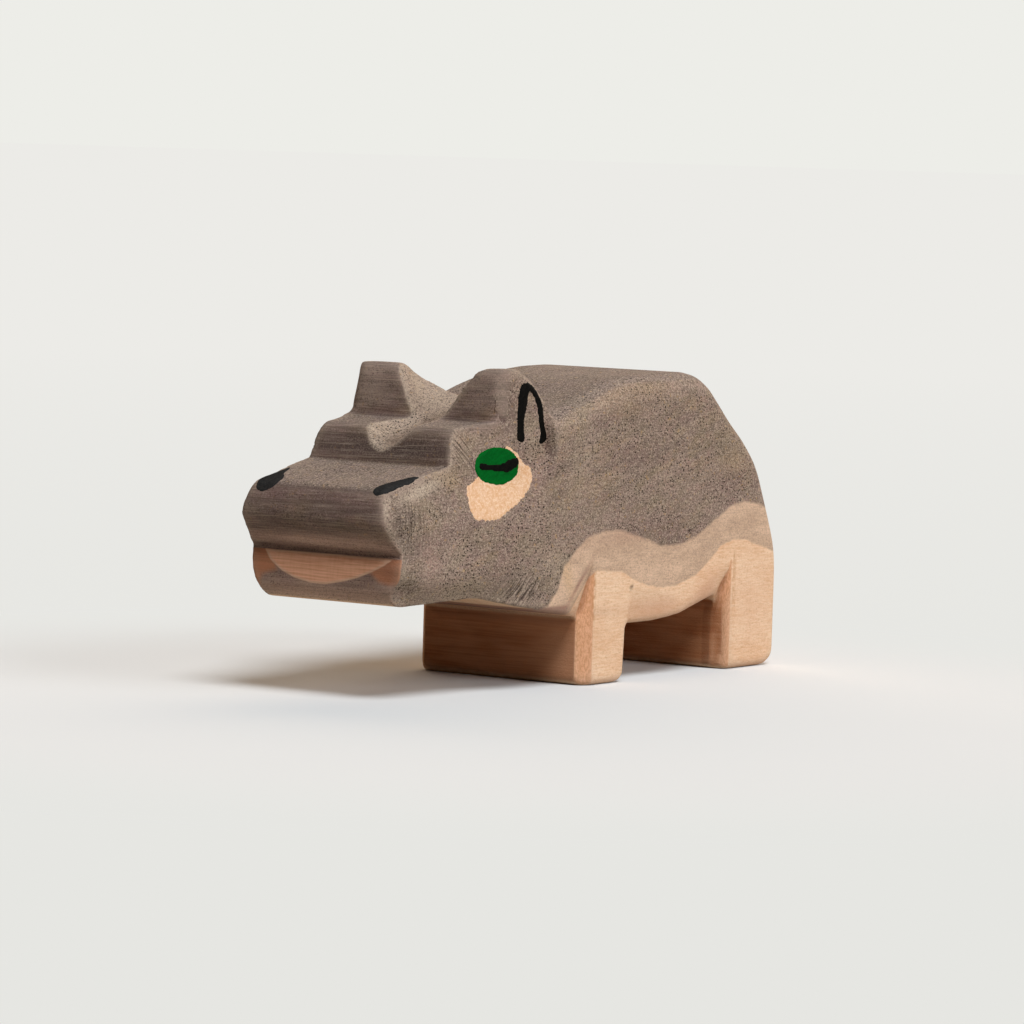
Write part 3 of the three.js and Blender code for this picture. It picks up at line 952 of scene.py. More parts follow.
@dataclass(frozen=True)
class SoftLamp:
    """A soft lamp far away: its bearing from +X, height and spread in degrees, and its share of white."""

    name: str
    bearing: float
    height: float
    spread: float
    level: float
    colour: Triple

    def place(self) -> None:
        """Adds the lamp."""
        data = bpy.data.lights.new(self.name, "SUN")
        data.angle = math.radians(self.spread)
        data.energy = self.level * math.pi
        data.color = self.colour
        lamp = bpy.data.objects.new(self.name, data)
        bearing, height = math.radians(self.bearing), math.radians(self.height)
        level = math.cos(height)
        away = Vector((level * math.cos(bearing), level * math.sin(bearing), math.sin(height)))
        lamp.rotation_euler = away.to_track_quat("Z", "Y").to_euler()
        lamp.location = away
        bpy.context.scene.collection.objects.link(lamp)


@dataclass
class Studio:
    """A pale paper floor, a high and a low lamp on the animal's left, a warm one behind, and a dim room."""

    floor_half: float = 40.0
    lamps: tuple[SoftLamp, ...] = (
        SoftLamp("soft_key", bearing=56.0, height=58.0, spread=25.0, level=0.8, colour=(0.93, 1.0, 1.06)),
        SoftLamp("low_window", bearing=96.0, height=21.0, spread=36.0, level=0.44, colour=(0.93, 1.0, 1.06)),
        SoftLamp("far_bounce", bearing=208.0, height=20.0, spread=80.0, level=0.62, colour=(1.24, 1.0, 0.75)),
    )
    room_level: float = 0.02
    room_colour: str = "#FFE4C8"
    backdrop: str = "#EDEDE8"
    paper: StudioPaper = field(default_factory=StudioPaper)

    def build(self) -> bpy.types.Object:
        """Adds the floor, the lamps and the room.

        Returns:
            The floor.
        """
        half = self.floor_half
        corners = [(-half, -half, 0), (half, -half, 0), (half, half, 0), (-half, half, 0)]
        mesh = bpy.data.meshes.new("paper_floor")
        mesh.from_pydata(corners, [], [(0, 1, 2, 3)])
        floor = plain_object("paper_floor", mesh, self.paper.material())
        for lamp in self.lamps:
            lamp.place()
        self.room()
        return floor

    def room(self) -> None:
        """Lights the room evenly, and shows the pale backdrop to the camera and in gloss."""
        world = bpy.data.worlds.new("studio_room")
        world.use_nodes = True
        bpy.context.scene.world = world
        tree = world.node_tree
        tree.nodes.clear()
        light, seen = (
            add_node(tree, "ShaderNodeBackground", {"Color": linear(colour), "Strength": level}).outputs[0]
            for colour, level in ((self.room_colour, self.room_level), (self.backdrop, 1.0))
        )
        mixed = add_node(tree, "ShaderNodeMixShader", {0: shown_to_camera(tree), 1: light, 2: seen})
        add_node(tree, "ShaderNodeOutputWorld", {"Surface": mixed.outputs[0]})


@dataclass(frozen=True)
class SoftSpot:
    """A soft place on a face: its middle and its two reaches in millimetres, and its slant in degrees."""

    middle: Point
    reach: Point
    slant: float = 0.0
    amount: float = 0.5

    def strength(self, flat: Array) -> Array:
        """Works out how strongly it shows.

        Args:
            flat: Flat points in millimetres.

        Returns:
            The strength at each point.
        """
        turn = math.radians(self.slant)
        along = (flat - self.middle) @ (math.cos(turn), math.sin(turn))
        across = (flat - self.middle) @ (-math.sin(turn), math.cos(turn))
        return self.amount * np.exp(-(along / self.reach[0]) ** 2 - (across / self.reach[1]) ** 2)


Tones = tuple[tuple[Tint, tuple[SoftSpot, ...]], ...]


@dataclass(frozen=True)
class Region:
    """A soft-edged part of the body, by the stretches in millimetres over which it comes in or goes out.

    They lie along X, outward from the middle of the plank and up Z, and a level with its spread may be added.
    """

    amount: float = 1.0
    along: tuple[Stretch, ...] = ()
    outward: tuple[Stretch, ...] = ()
    up: tuple[Stretch, ...] = ()
    level: tuple[float, float] | None = None
    side: Side | None = None

    def strength(self, points: Array) -> Array:
        """Works out how strongly points belong to it.

        Args:
            points: The points in millimetres.

        Returns:
            The amount at each point.
        """
        x, y, z = points.T
        held = np.full(len(points), float(self.amount))
        for values, stretches in ((x, self.along), (np.abs(y), self.outward), (z, self.up)):
            for stretch in stretches:
                held = held * smooth_step(values, stretch)
        if self.level:
            middle, spread = self.level
            held = held * np.exp(-((z - middle) / spread) ** 2)
        return held if self.side is None else held * (y * self.side.value > 0)


@dataclass(frozen=True)
class LegFacet:
    """An upright facet on a leg's corner, in millimetres, with how far its tone spills past it."""

    face: float
    depth: float
    width: float
    apex: float
    spill: float
    skin: float = 0.5

    def inside(self, points: Array, half_width: float) -> Array:
        """Measures how deep points lie inside the facet.

        Args:
            points: The points in millimetres.
            half_width: Half of the plank's thickness.

        Returns:
            The distance to the nearest edge, above 0 on the facet and below 0 off it.
        """
        x, y, z = points.T
        length = math.hypot(self.depth, self.width)
        from_x, from_y = x - self.face, np.abs(y) - (half_width - self.width)
        run = (from_y * self.width - from_x * self.depth) / length
        off = np.abs(from_x * self.width + from_y * self.depth) / length
        off = np.where(run < 0, 0.5 * off, off)
        return np.minimum.reduce([run + self.spill, length - run, self.skin - off, self.apex - z])


@dataclass(frozen=True)
class EarCorner:
    """The evenly rounded outer front corner of an ear, in millimetres, found from its flat outer face."""

    radius: float = 2.6
    front_at_top: float = 28.8
    front_at_foot: float = 30.6
    top: float = 61.6
    height: float = 9.9
    face_x: Stretch = (22.5, 25.5)
    face_z: Stretch = (53, 59.5)
    face_from: float = 12
    furthest: float = 31.4
    foot: Stretch = (51.2, 53.0)
    blend_x: Stretch = (-0.6, 0.2)
    blend_y: Stretch = (-0.2, 0.4)

    def shift(self, points: Array, side: Side) -> Array:
        """Works out how far each point moves onto the rounded corner.

        Args:
            points: The points in millimetres.
            side: The ear's side.

        Returns:
            The moves.
        """
        x, y, z = points[:, 0], points[:, 1] * side.value, points[:, 2]
        (left, right), (low, high) = self.face_x, self.face_z
        face = (x > left) & (x < right) & (z > low) & (z < high) & (y > self.face_from)
        slope, start = np.polyfit(z[face], y[face], 1)
        lean = (self.front_at_foot - self.front_at_top) / self.height
        from_x = x - (self.front_at_top + lean * (self.top - z) - self.radius)
        from_y = y - (slope * z + start - self.radius)
        reach = np.maximum(np.hypot(from_x, from_y), TINY)
        held = (x < self.furthest) * smooth_step(z, self.foot)
        held = held * smooth_step(from_x, self.blend_x) * smooth_step(from_y, self.blend_y)
        share = held * (self.radius / reach - 1)
        return np.stack([share * from_x, side.value * share * from_y, np.zeros(len(points))], axis=1)


@dataclass
class CarvedBody:
    """The wooden animal in one piece, with the shallow cuts, soft corners and stain edges its solid lacks.

    Outlines and spots on the flank are by X and Z, and those on the snout's front by Y and Z, in millimetres.
    A row of the groove holds X, the groove's middle and bottom there, and how widely it opens. A turn says
    how far a face is turned towards a direction, from where a finish starts to where it is full.
    """

    voxel: float = 0.54
    seam: float = 0.002
    sharp_angle: float = 0.5
    mark_spacing: float = 0.05
    snap_reach: float = 0.56
    half_width: float = 20.25
    stain_line: tuple[Point, ...] = (
        (90, 8), (24, 15.4), (17, 16.1), (13.3, 19.6), (11.8, 23.5), (7.5, 26.8), (3.7, 29), (-2, 29.9),
        (-7.4, 29.8), (-13, 28.6), (-18.1, 27.4), (-21.7, 26.1), (-28.6, 26.1), (-35.1, 27.7), (-42.5, 31),
        (-47.1, 33), (-51.7, 33.8), (-56.4, 33.3), (-60.2, 32.3), (-80, 30),
    )
    wash_line: tuple[Point, ...] = (
        (90, 6), (24, 13.5), (13, 14.2), (9, 14.5), (0.7, 22.3), (-8.3, 21.7), (-12.7, 20), (-17.2, 18.6),
        (-22.2, 17.9), (-28.2, 18.1), (-34.7, 19.6), (-40, 22.6), (-43.5, 25), (-48.4, 26.2), (-52.2, 26.1),
        (-56.9, 25), (-62.7, 23.4), (-80, 21),
    )
    far_above: tuple[Point, Point] = ((-80, 90), (90, 90))
    mouth_outline: tuple[Point, ...] = (
        (-14.6, 27.1), (-12.6, 25.0), (-10.1, 23.3), (-7, 22.1), (-3, 21.4), (0.5, 21.4), (4.1, 22.1),
        (7.5, 23), (11.1, 24.4), (13.6, 25.7), (15.5, 27.1),
    )
    mouth_corners: tuple[tuple[Point, ...], ...] = (
        ((10.6, 24.6), (12.8, 23.0), (15.0, 22.5), (17.6, 22.8), (17.6, 27.1), (14.0, 27.1)),
        ((-13.0, 27.1), (-17.8, 27.1), (-17.8, 20.5), (-15.6, 20.2), (-14.8, 22.6), (-11.4, 23.6)),
    )
    snout_from: float = 50
    snout_turn: float = 0.3
    lip_level: float = 27.2
    other_faces: float = -2.0
    unstained: float = -1.0
    furthest_depth: float = 9.0
    belly_line: tuple[Point, ...] = ((-31.2, 14.2), (-26, 16.5), (-20, 17.6), (-14, 18.2), (-10.6, 18.1))
    belly_cut: Region = Region(0.16, along=((-10.6, -13.0), (-34, -26)))
    rear_line: tuple[Point, Point] = ((-30.4, 14.0), (-47.4, 21.9))
    rear_cut: Region = Region(0.2, along=((-47.6, -46.4), (-26, -34)), up=((24, 21),))
    deepest_cut: float = 2.0
    cut_flank: Region = Region(outward=((12, 16),))
    fuller_rump: Region = Region(along=((-46, -56),), level=(47.8, 4.8))
    rump_move: Triple = (-0.7, 0.0, 0.4)
    fuller_cheeks: tuple[Region, ...] = (
        Region(0.6, ((52, 58),), ((8, 14),), level=(36, 3.4)),
        Region(-1.3, ((54, 61.5),), ((8, 14),), level=(20.5, 2.6), side=Side.LEFT),
        Region(0.8, ((33, 37), (50, 47)), ((8, 14),), level=(47.5, 3.2), side=Side.RIGHT),
    )
    ear_corner: EarCorner = EarCorner()
    sanded_ears: Region = Region(along=((12, 16),), up=((54.5, 58.5),))
    kept_groove: Region = Region(up=((60, 57.5),))
    sanded_edges: tuple[Region, ...] = (
        Region(0.6, up=((2.0, 0.6),)),
        Region(0.8, ((50, 58),), up=((28.5, 31),)),
        Region(0.6, ((-44, -52),), up=((36, 40), (59, 56))),
    )
    sanding_passes: int = 14
    even_sanding: float = 0.3
    corner_sanding: float = 0.5
    facets: tuple[LegFacet, ...] = (
        LegFacet(face=3.8, depth=2.7, width=2.3, apex=25.8, spill=0.1),
        LegFacet(face=-46.4, depth=1.7, width=1.5, apex=22.4, spill=0.55),
    )
    facet_edges: tuple[float, float] = (1.1, -49.1)
    facet_edge_width: float = 0.4
    facet_edge_part: Region = Region(up=((25, 22.5), (9, 15)))
    groove: tuple[tuple[float, float, float, float], ...] = (
        (8, 2.6, 56.5, 36), (18.4, 2, 54.2, 28), (22.5, 1.7, 53.3, 18), (26, 1.3, 52.1, 10.5),
        (29.5, 0.9, 50.9, 7), (43, -0.7, 46.1, 7.5), (52, -1.8, 42.8, 7.5),
    )
    # The rear arch's inner corners, darkened on the sawn face as painted shade.
    arch_corner_out: Stretch = (15, 18.2)
    arch_corner_top: float = 18
    arch_corner_width: float = 0.4
    arch_corner_shade: float = 0.8
    groove_from: float = 14
    groove_skin: Stretch = (0.5, 0.25)
    flank_turn: Stretch = (0.4, 0.75)
    front_turn: Stretch = (0.25, 0.55)
    front_from: float = 2
    end_turn: Stretch = (0.45, 0.75)
    sawn_turn: Stretch = (0.74, 0.9)
    top_sheen_turn: Stretch = (0.55, 0.9)
    chin_turn: float = -0.85
    chin_from: float = 20
    chin_top: float = 19.5
    plain_neck: tuple[float, float] = (15, 3)
    ear_ends: Region = Region(0.4, ((22, 24),), up=((49, 51),))
    ear_turn: Stretch = (0, 0.2)
    throat: Region = Region(0.95, ((8, 11),), up=((16.6, 16.0),))
    ridge_bend: Stretch = (0.22, 0.6)
    hollow_bend: Stretch = (0.1, 0.4)
    bend_passes: int = 30
    # Most of these spots are stain that sank in unevenly, but some are painted light and shade: the TAN spot
    # on the ridge before the eye and the PALE spots on the muzzle's top ridge and corner are partly wear and
    # partly painted highlight, the DEEP spots on the muzzle's side behind the lip corner are partly darker
    # stain and partly painted shade, and the DEEP and PLUM spots in the hollow behind the ear are painted
    # shade.
    flank_tones: Tones = (
        (Tint.TAN, (
            SoftSpot((-2.0, 55.3), (6.0, 1.3), -17.0, 0.36), SoftSpot((-15.0, 57.2), (9.0, 1.5), 2.0, 0.42),
            SoftSpot((-9.0, 53.6), (6.0, 2.2), 0.0, 0.35), SoftSpot((-48.0, 42.0), (5.0, 2.6)),
            SoftSpot((45.5, 41.4), (5.0, 1.5), 12.0, 0.75), SoftSpot((38.0, 48.5), (3.0, 1.5), 0.0, 0.4),
        )),
        (Tint.DEEP, (
            SoftSpot((0.0, 57.2), (9.0, 1.1), -15.0), SoftSpot((61.6, 33.6), (2.6, 5.2), 8.0, 0.4),
            SoftSpot((-14.0, 50.0), (7.0, 2.2), 8.0, 0.22), SoftSpot((25.0, 19.8), (6.0, 2.6), 0.0, 0.3),
            SoftSpot((58.4, 32.4), (3.6, 6.0), 8.0, 0.55), SoftSpot((27.6, 55.5), (2.6, 6.0), 0.0, 0.32),
            SoftSpot((57.5, 22.5), (4.0, 3.0), 0.0, 0.18), SoftSpot((12.9, 19.2), (1.2, 0.22), 0.0, 0.9),
            SoftSpot((-11.9, 18.5), (0.5, 0.35), -20.0, 1.0), SoftSpot((47.0, 37.5), (5.0, 2.4), 0.0, 0.22),
        )),
        (Tint.PLUM, (
            SoftSpot((16.2, 45.5), (0.9, 4.5), 8.0, 0.75), SoftSpot((-46.0, 37.6), (8.0, 2.4)),
            SoftSpot((-17.0, 30.2), (16.0, 2.2), -6.0), SoftSpot((14.5, 28.8), (7.0, 2.2), 10.0, 0.36),
            SoftSpot((40.5, 32.7), (3.0, 2.6), 0.0, 0.4), SoftSpot((6.6, 19.9), (5.5, 0.5), -46.0, 0.9),
            SoftSpot((27.6, 55.5), (2.6, 6.0), 0.0, 0.4), SoftSpot((30.0, 14.2), (24.0, 1.1), 0.0, 1.0),
        )),
        (Tint.OLIVE, (
            SoftSpot((-45.0, 46.8), (6.0, 3.4), 0.0, 0.6), SoftSpot((42.0, 20.0), (9.0, 2.6)),
            SoftSpot((10.5, 22.0), (1.6, 4.5), -24.0), SoftSpot((14.0, 37.0), (4.0, 4.0), 0.0, 0.35),
        )),
        (Tint.ROSE, (
            SoftSpot((52.0, 26.5), (2.4, 4.0), 0.0, 0.8), SoftSpot((19.5, 41.0), (2.0, 5.0)),
            SoftSpot((-22.0, 13.6), (10.0, 2.4), 0.0, 0.6), SoftSpot((-39.0, 15.5), (5.5, 3.4), -40.0, 0.7),
            SoftSpot((-30.0, 0.2), (60.0, 0.7), 0.0, 0.6), SoftSpot((-56.0, 13.0), (8.0, 9.0), 0.0, 0.22),
        )),
        (Tint.PALE, (
            SoftSpot((64.3, 36.8), (0.7, 1.8), 0.0, 0.7), SoftSpot((52.5, 39.7), (7.0, 1.3), -14.0, 0.9),
            SoftSpot((44.0, 21.0), (9.0, 3.2), 0.0, 0.22), SoftSpot((16.0, 25.0), (6.0, 5.0), 0.0, 0.2),
            SoftSpot((7.0, 45.0), (5.0, 9.0), 0.0, 0.14),
        )),
    )
    # Some of these spots are painted light and shade: the lightening spots along the top of the front legs and
    # down their near side are painted light, the PALE spots on the ears' fronts are painted light, the broad
    # DEEP band at the brow's foot is painted shade, and the thin DEEP line in the lip's crease is painted
    # shade as well as stain pooled there.
    front_tones: Tones = (
        (Tint.THIN_AND_LIT, (
            SoftSpot((0.0, 18.6), (26.0, 3.6), 0.0, 1.0), SoftSpot((0.0, 29.2), (26.0, 1.7), 0.0, 0.75),
            SoftSpot((15.0, 6.0), (5.0, 9.0), 0.0, 0.8), SoftSpot((6.0, 12.6), (16.0, 1.4), 0.0, 0.6),
        )),
        (Tint.ROSE, (SoftSpot((15.0, 25.2), (2.6, 3.0), 0.0, 1.0),)),
        (Tint.OLIVE, (SoftSpot((2.0, 31.6), (17.0, 1.3), 0.0, 0.4),)),
        (Tint.DEEP, (
            SoftSpot((0.0, 27.3), (17.0, 0.25), 0.0, 0.6), SoftSpot((3.0, 34.9), (14.0, 0.8), 0.0, 0.3),
            SoftSpot((2.0, 46.3), (24.0, 2.5), 0.0, 1.0), SoftSpot((0.0, 41.0), (19.0, 2.0), 0.0, 0.6),
        )),
        (Tint.PLUM, (SoftSpot((0.0, 37.8), (17.0, 1.4), 0.0, 0.55),)),
        (Tint.PALE, (
            SoftSpot((-13.0, 57.0), (5.0, 5.0), 0.0, 0.6), SoftSpot((13.0, 57.0), (4.0, 4.0), 0.0, 0.3),
        )),
        (Tint.TAN, (SoftSpot((14.5, 53.0), (1.6, 1.6), 0.0, 0.4),)),
    )
    scratches: tuple[tuple[Trace, SoftSpot], ...] = (
        (Trace.HATCH_RISING, SoftSpot((25, 19.6), (6, 3), amount=1.3)),
        (Trace.HATCH_FALLING, SoftSpot((39.5, 47), (3.5, 3.6), amount=1.0)),
        (Trace.SCRATCHED, SoftSpot((57, 33), (5, 7), amount=0.55)),
    )
    finish: StainedMaple = field(default_factory=StainedMaple)

    def build(self, node: bpy.types.Object) -> bpy.types.Object:
        """Builds the body over its solid.

        Args:
            node: The solid's object.

        Returns:
            The body.
        """
        mesh = self.even_mesh(node)
        edges = np.empty(len(mesh.edges) * 2, int)
        mesh.edges.foreach_get("vertices", edges)
        edges = edges.reshape(-1, 2)
        points, _ = mesh_arrays(mesh)
        points = self.crisp(points, node)
        points = points + sum(self.ear_corner.shift(points, side) for side in Side)
        points = self.knife_cuts(self.softened(points, edges))
        mesh.vertices.foreach_set("co", (points * MM).ravel())
        mesh.update()
        points, normals = mesh_arrays(mesh)
        for item, values in self.masks(points, normals, edges).items():
            attribute = mesh.attributes.new(item.value, "FLOAT", "POINT")
            attribute.data.foreach_set("value", values.astype(np.float32))
        body = plain_object("wooden_body", mesh, self.finish.material())
        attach(body, BODY)
        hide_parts(node.name)
        return body

    def even_mesh(self, node: bpy.types.Object) -> bpy.types.Mesh:
        """Covers the solid with an even net of small squares.

        Args:
            node: The solid's object.

        Returns:
            The net.
        """
        copy = bpy.data.objects.new("even_net", node.data.copy())
        bpy.context.scene.collection.objects.link(copy)
        weld = copy.modifiers.new("weld", "WELD")
        weld.merge_threshold = self.seam * MM
        remesh = copy.modifiers.new("net", "REMESH")
        remesh.mode = "VOXEL"
        remesh.voxel_size = self.voxel * MM
        wrap = copy.modifiers.new("wrap", "SHRINKWRAP")
        wrap.target = node
        wrap.wrap_method = "NEAREST_SURFACEPOINT"
        bpy.context.view_layer.update()
        made = bpy.data.meshes.new_from_object(copy.evaluated_get(bpy.context.evaluated_depsgraph_get()))
        bpy.data.objects.remove(copy)
        return made

    def crisp(self, points: Array, node: bpy.types.Object) -> Array:
        """Draws the net's nearest points onto the solid's sharp edges, so that these run smooth.

        Args:
            points: The points in millimetres.
            node: The solid's object.

        Returns:
            The moved points.
        """
        solid = bmesh.new()
        solid.from_mesh(node.data)
        bmesh.ops.remove_doubles(solid, verts=solid.verts, dist=self.seam * MM)
        marks = []
        for edge in solid.edges:
            if len(edge.link_faces) == 2 and edge.calc_face_angle() > self.sharp_angle:
                start, end = (vert.co / MM for vert in edge.verts)
                count = max(1, round((end - start).length / self.mark_spacing))
                marks.extend(start.lerp(end, step / count) for step in range(count + 1))
        solid.free()
        found = KDTree(len(marks))
        for index, mark in enumerate(marks):
            found.insert(mark, index)
        found.balance()
        moved = points.copy()
        for index, point in enumerate(points):
            mark, _, distance = found.find(Vector(point))
            if distance < self.voxel * self.snap_reach:
                moved[index] = mark
        return moved

    def softened(self, points: Array, edges: Array) -> Array:
        """Sands the corners: a little everywhere, and more at the ears, snout, rump and soles.

        Args:
            points: The points in millimetres.
            edges: The net's edges.

        Returns:
            The moved points.
        """
        kept = 1 - self.gouged(points) * self.kept_groove.strength(points)
        ears = self.sanded_ears.strength(points) * kept
        more = np.maximum.reduce([ears, *(region.strength(points) for region in self.sanded_edges)])[:, None]
        for step in range(self.sanding_passes):
            strength = self.corner_sanding * more if step else self.even_sanding
            points = points + strength * (neighbour_mean(points, edges) - points)
        points[:, 2] = np.maximum(points[:, 2], 0.0)
        return points

    def knife_cuts(self, points: Array) -> Array:
        """Presses in the shallow cuts at the belly and the rear arch, and fills out the rump and the cheeks.

        Args:
            points: The points in millimetres.

        Returns:
            The moved points.
        """
        x, y, z = points.T
        below = np.interp(x, *np.array(self.belly_line).T) - z
        start, end = np.array(self.rear_line)
        run = (end - start) / np.linalg.norm(end - start)
        beyond = (x - start[0]) * -run[1] + (z - start[1]) * run[0]
        belly = np.maximum(below, 0) * self.belly_cut.strength(points)
        rear = np.maximum(beyond, 0) * self.rear_cut.strength(points)
        cut = self.cut_flank.strength(points) * np.clip(np.maximum(belly, rear), 0, self.deepest_cut)
        cheeks = sum(region.strength(points) for region in self.fuller_cheeks)
        moved = points + self.fuller_rump.strength(points)[:, None] * self.rump_move
        moved[:, 1] += np.sign(y) * (cheeks - cut)
        return moved

    def gouged(self, points: Array) -> Array:
        """Finds the surface of the groove between the ears.

        Args:
            points: The points in millimetres.

        Returns:
            1 on the groove and 0 off it.
        """
        x, y, z = points.T
        along, *rows = np.array(self.groove).T
        middle, bottom, spread = (np.interp(x, along, row) for row in rows)
        across = y - middle
        off = np.abs(z - bottom - across ** 2 / spread) / np.hypot(1, 2 * across / spread)
        return smooth_step(off, self.groove_skin) * (x > self.groove_from)

    def on_snout(
        self, points: Array, normals: Array, outline: tuple[Point, ...], top: float = np.inf,
    ) -> Array:
        """Measures how deep points lie inside an outline on the front of the snout.

        Args:
            points: The points in millimetres.
            normals: Their normals.
            outline: The outline, by Y and Z.
            top: The level above which nothing counts.

        Returns:
            The depth, above 0 inside the outline and well below 0 on other faces.
        """
        x, _, z = points.T
        depth = signed_depth(points[:, 1:], outline)
        front = (x > self.snout_from) & (z < top) & (normals[:, 0] > self.snout_turn)
        return np.where(front, depth, np.minimum(depth, self.other_faces))

    def bare_chin(self, points: Array, normals: Array) -> Array:
        """Tells which points lie under the head, where no stain was brushed."""
        x, _, z = points.T
        return (normals[:, 2] < self.chin_turn) & (x > self.chin_from) & (z < self.chin_top)

    def arch_corner(self, points: Array) -> Array:
        """Finds the inner corners of the rear arch, where the sawn face is darkened as painted shade.

        Args:
            points: The points in millimetres.

        Returns:
            The dirt's share at each point.
        """
        x, y, z = points.T
        near, far = self.arch_corner_out
        held = (np.abs(x - self.facets[1].face) < self.arch_corner_width) & (z < self.arch_corner_top)
        return self.arch_corner_shade * (held & (np.abs(y) > near) & (np.abs(y) < far))

    def bend(self, points: Array, normals: Array, edges: Array) -> Array:
        """Measures how far the surface lies under or over its own smoothed shape.

        Args:
            points: The points in millimetres.
            normals: Their normals.
            edges: The net's edges.

        Returns:
            The distance, above 0 in hollows and below 0 on ridges.
        """
        smooth = points
        for _ in range(self.bend_passes):
            smooth = neighbour_mean(smooth, edges)
        return ((smooth - points) * normals).sum(axis=1)

    def tones(self, points: Array, flank: Array, front: Array) -> dict[Tint, Array]:
        """Adds up the soft places of each tone.

        Args:
            points: The points in millimetres.
            flank: How far each point faces sideways.
            front: How far each point faces forwards.

        Returns:
            The share of each tone at each point.
        """
        shares = {tint: np.zeros(len(points)) for tint in Tint}
        faces = ((self.flank_tones, points[:, [0, 2]], flank), (self.front_tones, points[:, 1:], front))
        for tones, flat, held in faces:
            for tint, spots in tones:
                shares[tint] += held * sum(spot.strength(flat) for spot in spots)
        shares = {tint: np.clip(share, 0, 1) for tint, share in shares.items()}
        shares[Tint.PLUM] = np.maximum(shares[Tint.PLUM], self.throat.strength(points))
        return shares

    def masks(self, points: Array, normals: Array, edges: Array) -> dict[BodyAttribute, Array]:
        """Works out where each finish lies.

        Args:
            points: The points in millimetres.
            normals: Their normals.
            edges: The net's edges.

        Returns:
            One value for each point, by the attribute that carries it.
        """
        x = points[:, 0]
        side = points[:, [0, 2]]
        turned = np.abs(normals[:, 0])
        flank = smooth_step(np.abs(normals[:, 1]), self.flank_turn)
        front = smooth_step(normals[:, 0], self.front_turn) * (x > self.front_from)
        gouged = self.gouged(points)
        bend = self.bend(points, normals, edges)
        chin = self.bare_chin(points, normals)
        stain, wash = (
            np.where(chin, self.unstained, signed_depth(side, (*line, *self.far_above)))
            for line in (self.stain_line, self.wash_line)
        )
        corners = [self.on_snout(points, normals, line, self.lip_level) for line in self.mouth_corners]
        depths = {
            Trace.STAIN: stain,
            Trace.WASH: wash,
            Trace.MOUTH: self.on_snout(points, normals, self.mouth_outline),
            Trace.CORNER: np.maximum.reduce(corners),
            Trace.FACET: np.maximum.reduce([facet.inside(points, self.half_width) for facet in self.facets]),
        }
        ears = self.ear_ends.strength(points) * smooth_step(normals[:, 0], self.ear_turn)
        neck, spread = self.plain_neck
        off_neck = 1 - np.exp(-((x - neck) / spread) ** 2)
        edge = sum(np.exp(-((x - place) / self.facet_edge_width) ** 2) for place in self.facet_edges)
        far = self.furthest_depth
        return {
            **{trace: np.clip(depth, -far, far) for trace, depth in depths.items()},
            Trace.FACET_EDGE: edge * self.facet_edge_part.strength(points) * flank,
            Trace.END_GRAIN: smooth_step(turned + ears, self.end_turn) * off_neck * (1 - gouged),
            Trace.SAWN: smooth_step(turned, self.sawn_turn),
            Trace.GOUGED: gouged,
            # Lighter on ridges: partly wear, partly painted highlight.
            Trace.RIDGE: smooth_step(-bend, self.ridge_bend),
            # Darker in hollows, from pooled stain and painted shade, and in the rear arch's inner corners, as
            # painted shade.
            Trace.HOLLOW_STAIN_AND_SHADE: np.maximum(smooth_step(bend, self.hollow_bend), self.arch_corner(points)),
            # Upward faces get the painted sheen and shade.
            Trace.TOP_SHEEN: smooth_step(normals[:, 2], self.top_sheen_turn),
            **{trace: flank * spot.strength(side) for trace, spot in self.scratches},
            **self.tones(points, flank, front),
        }


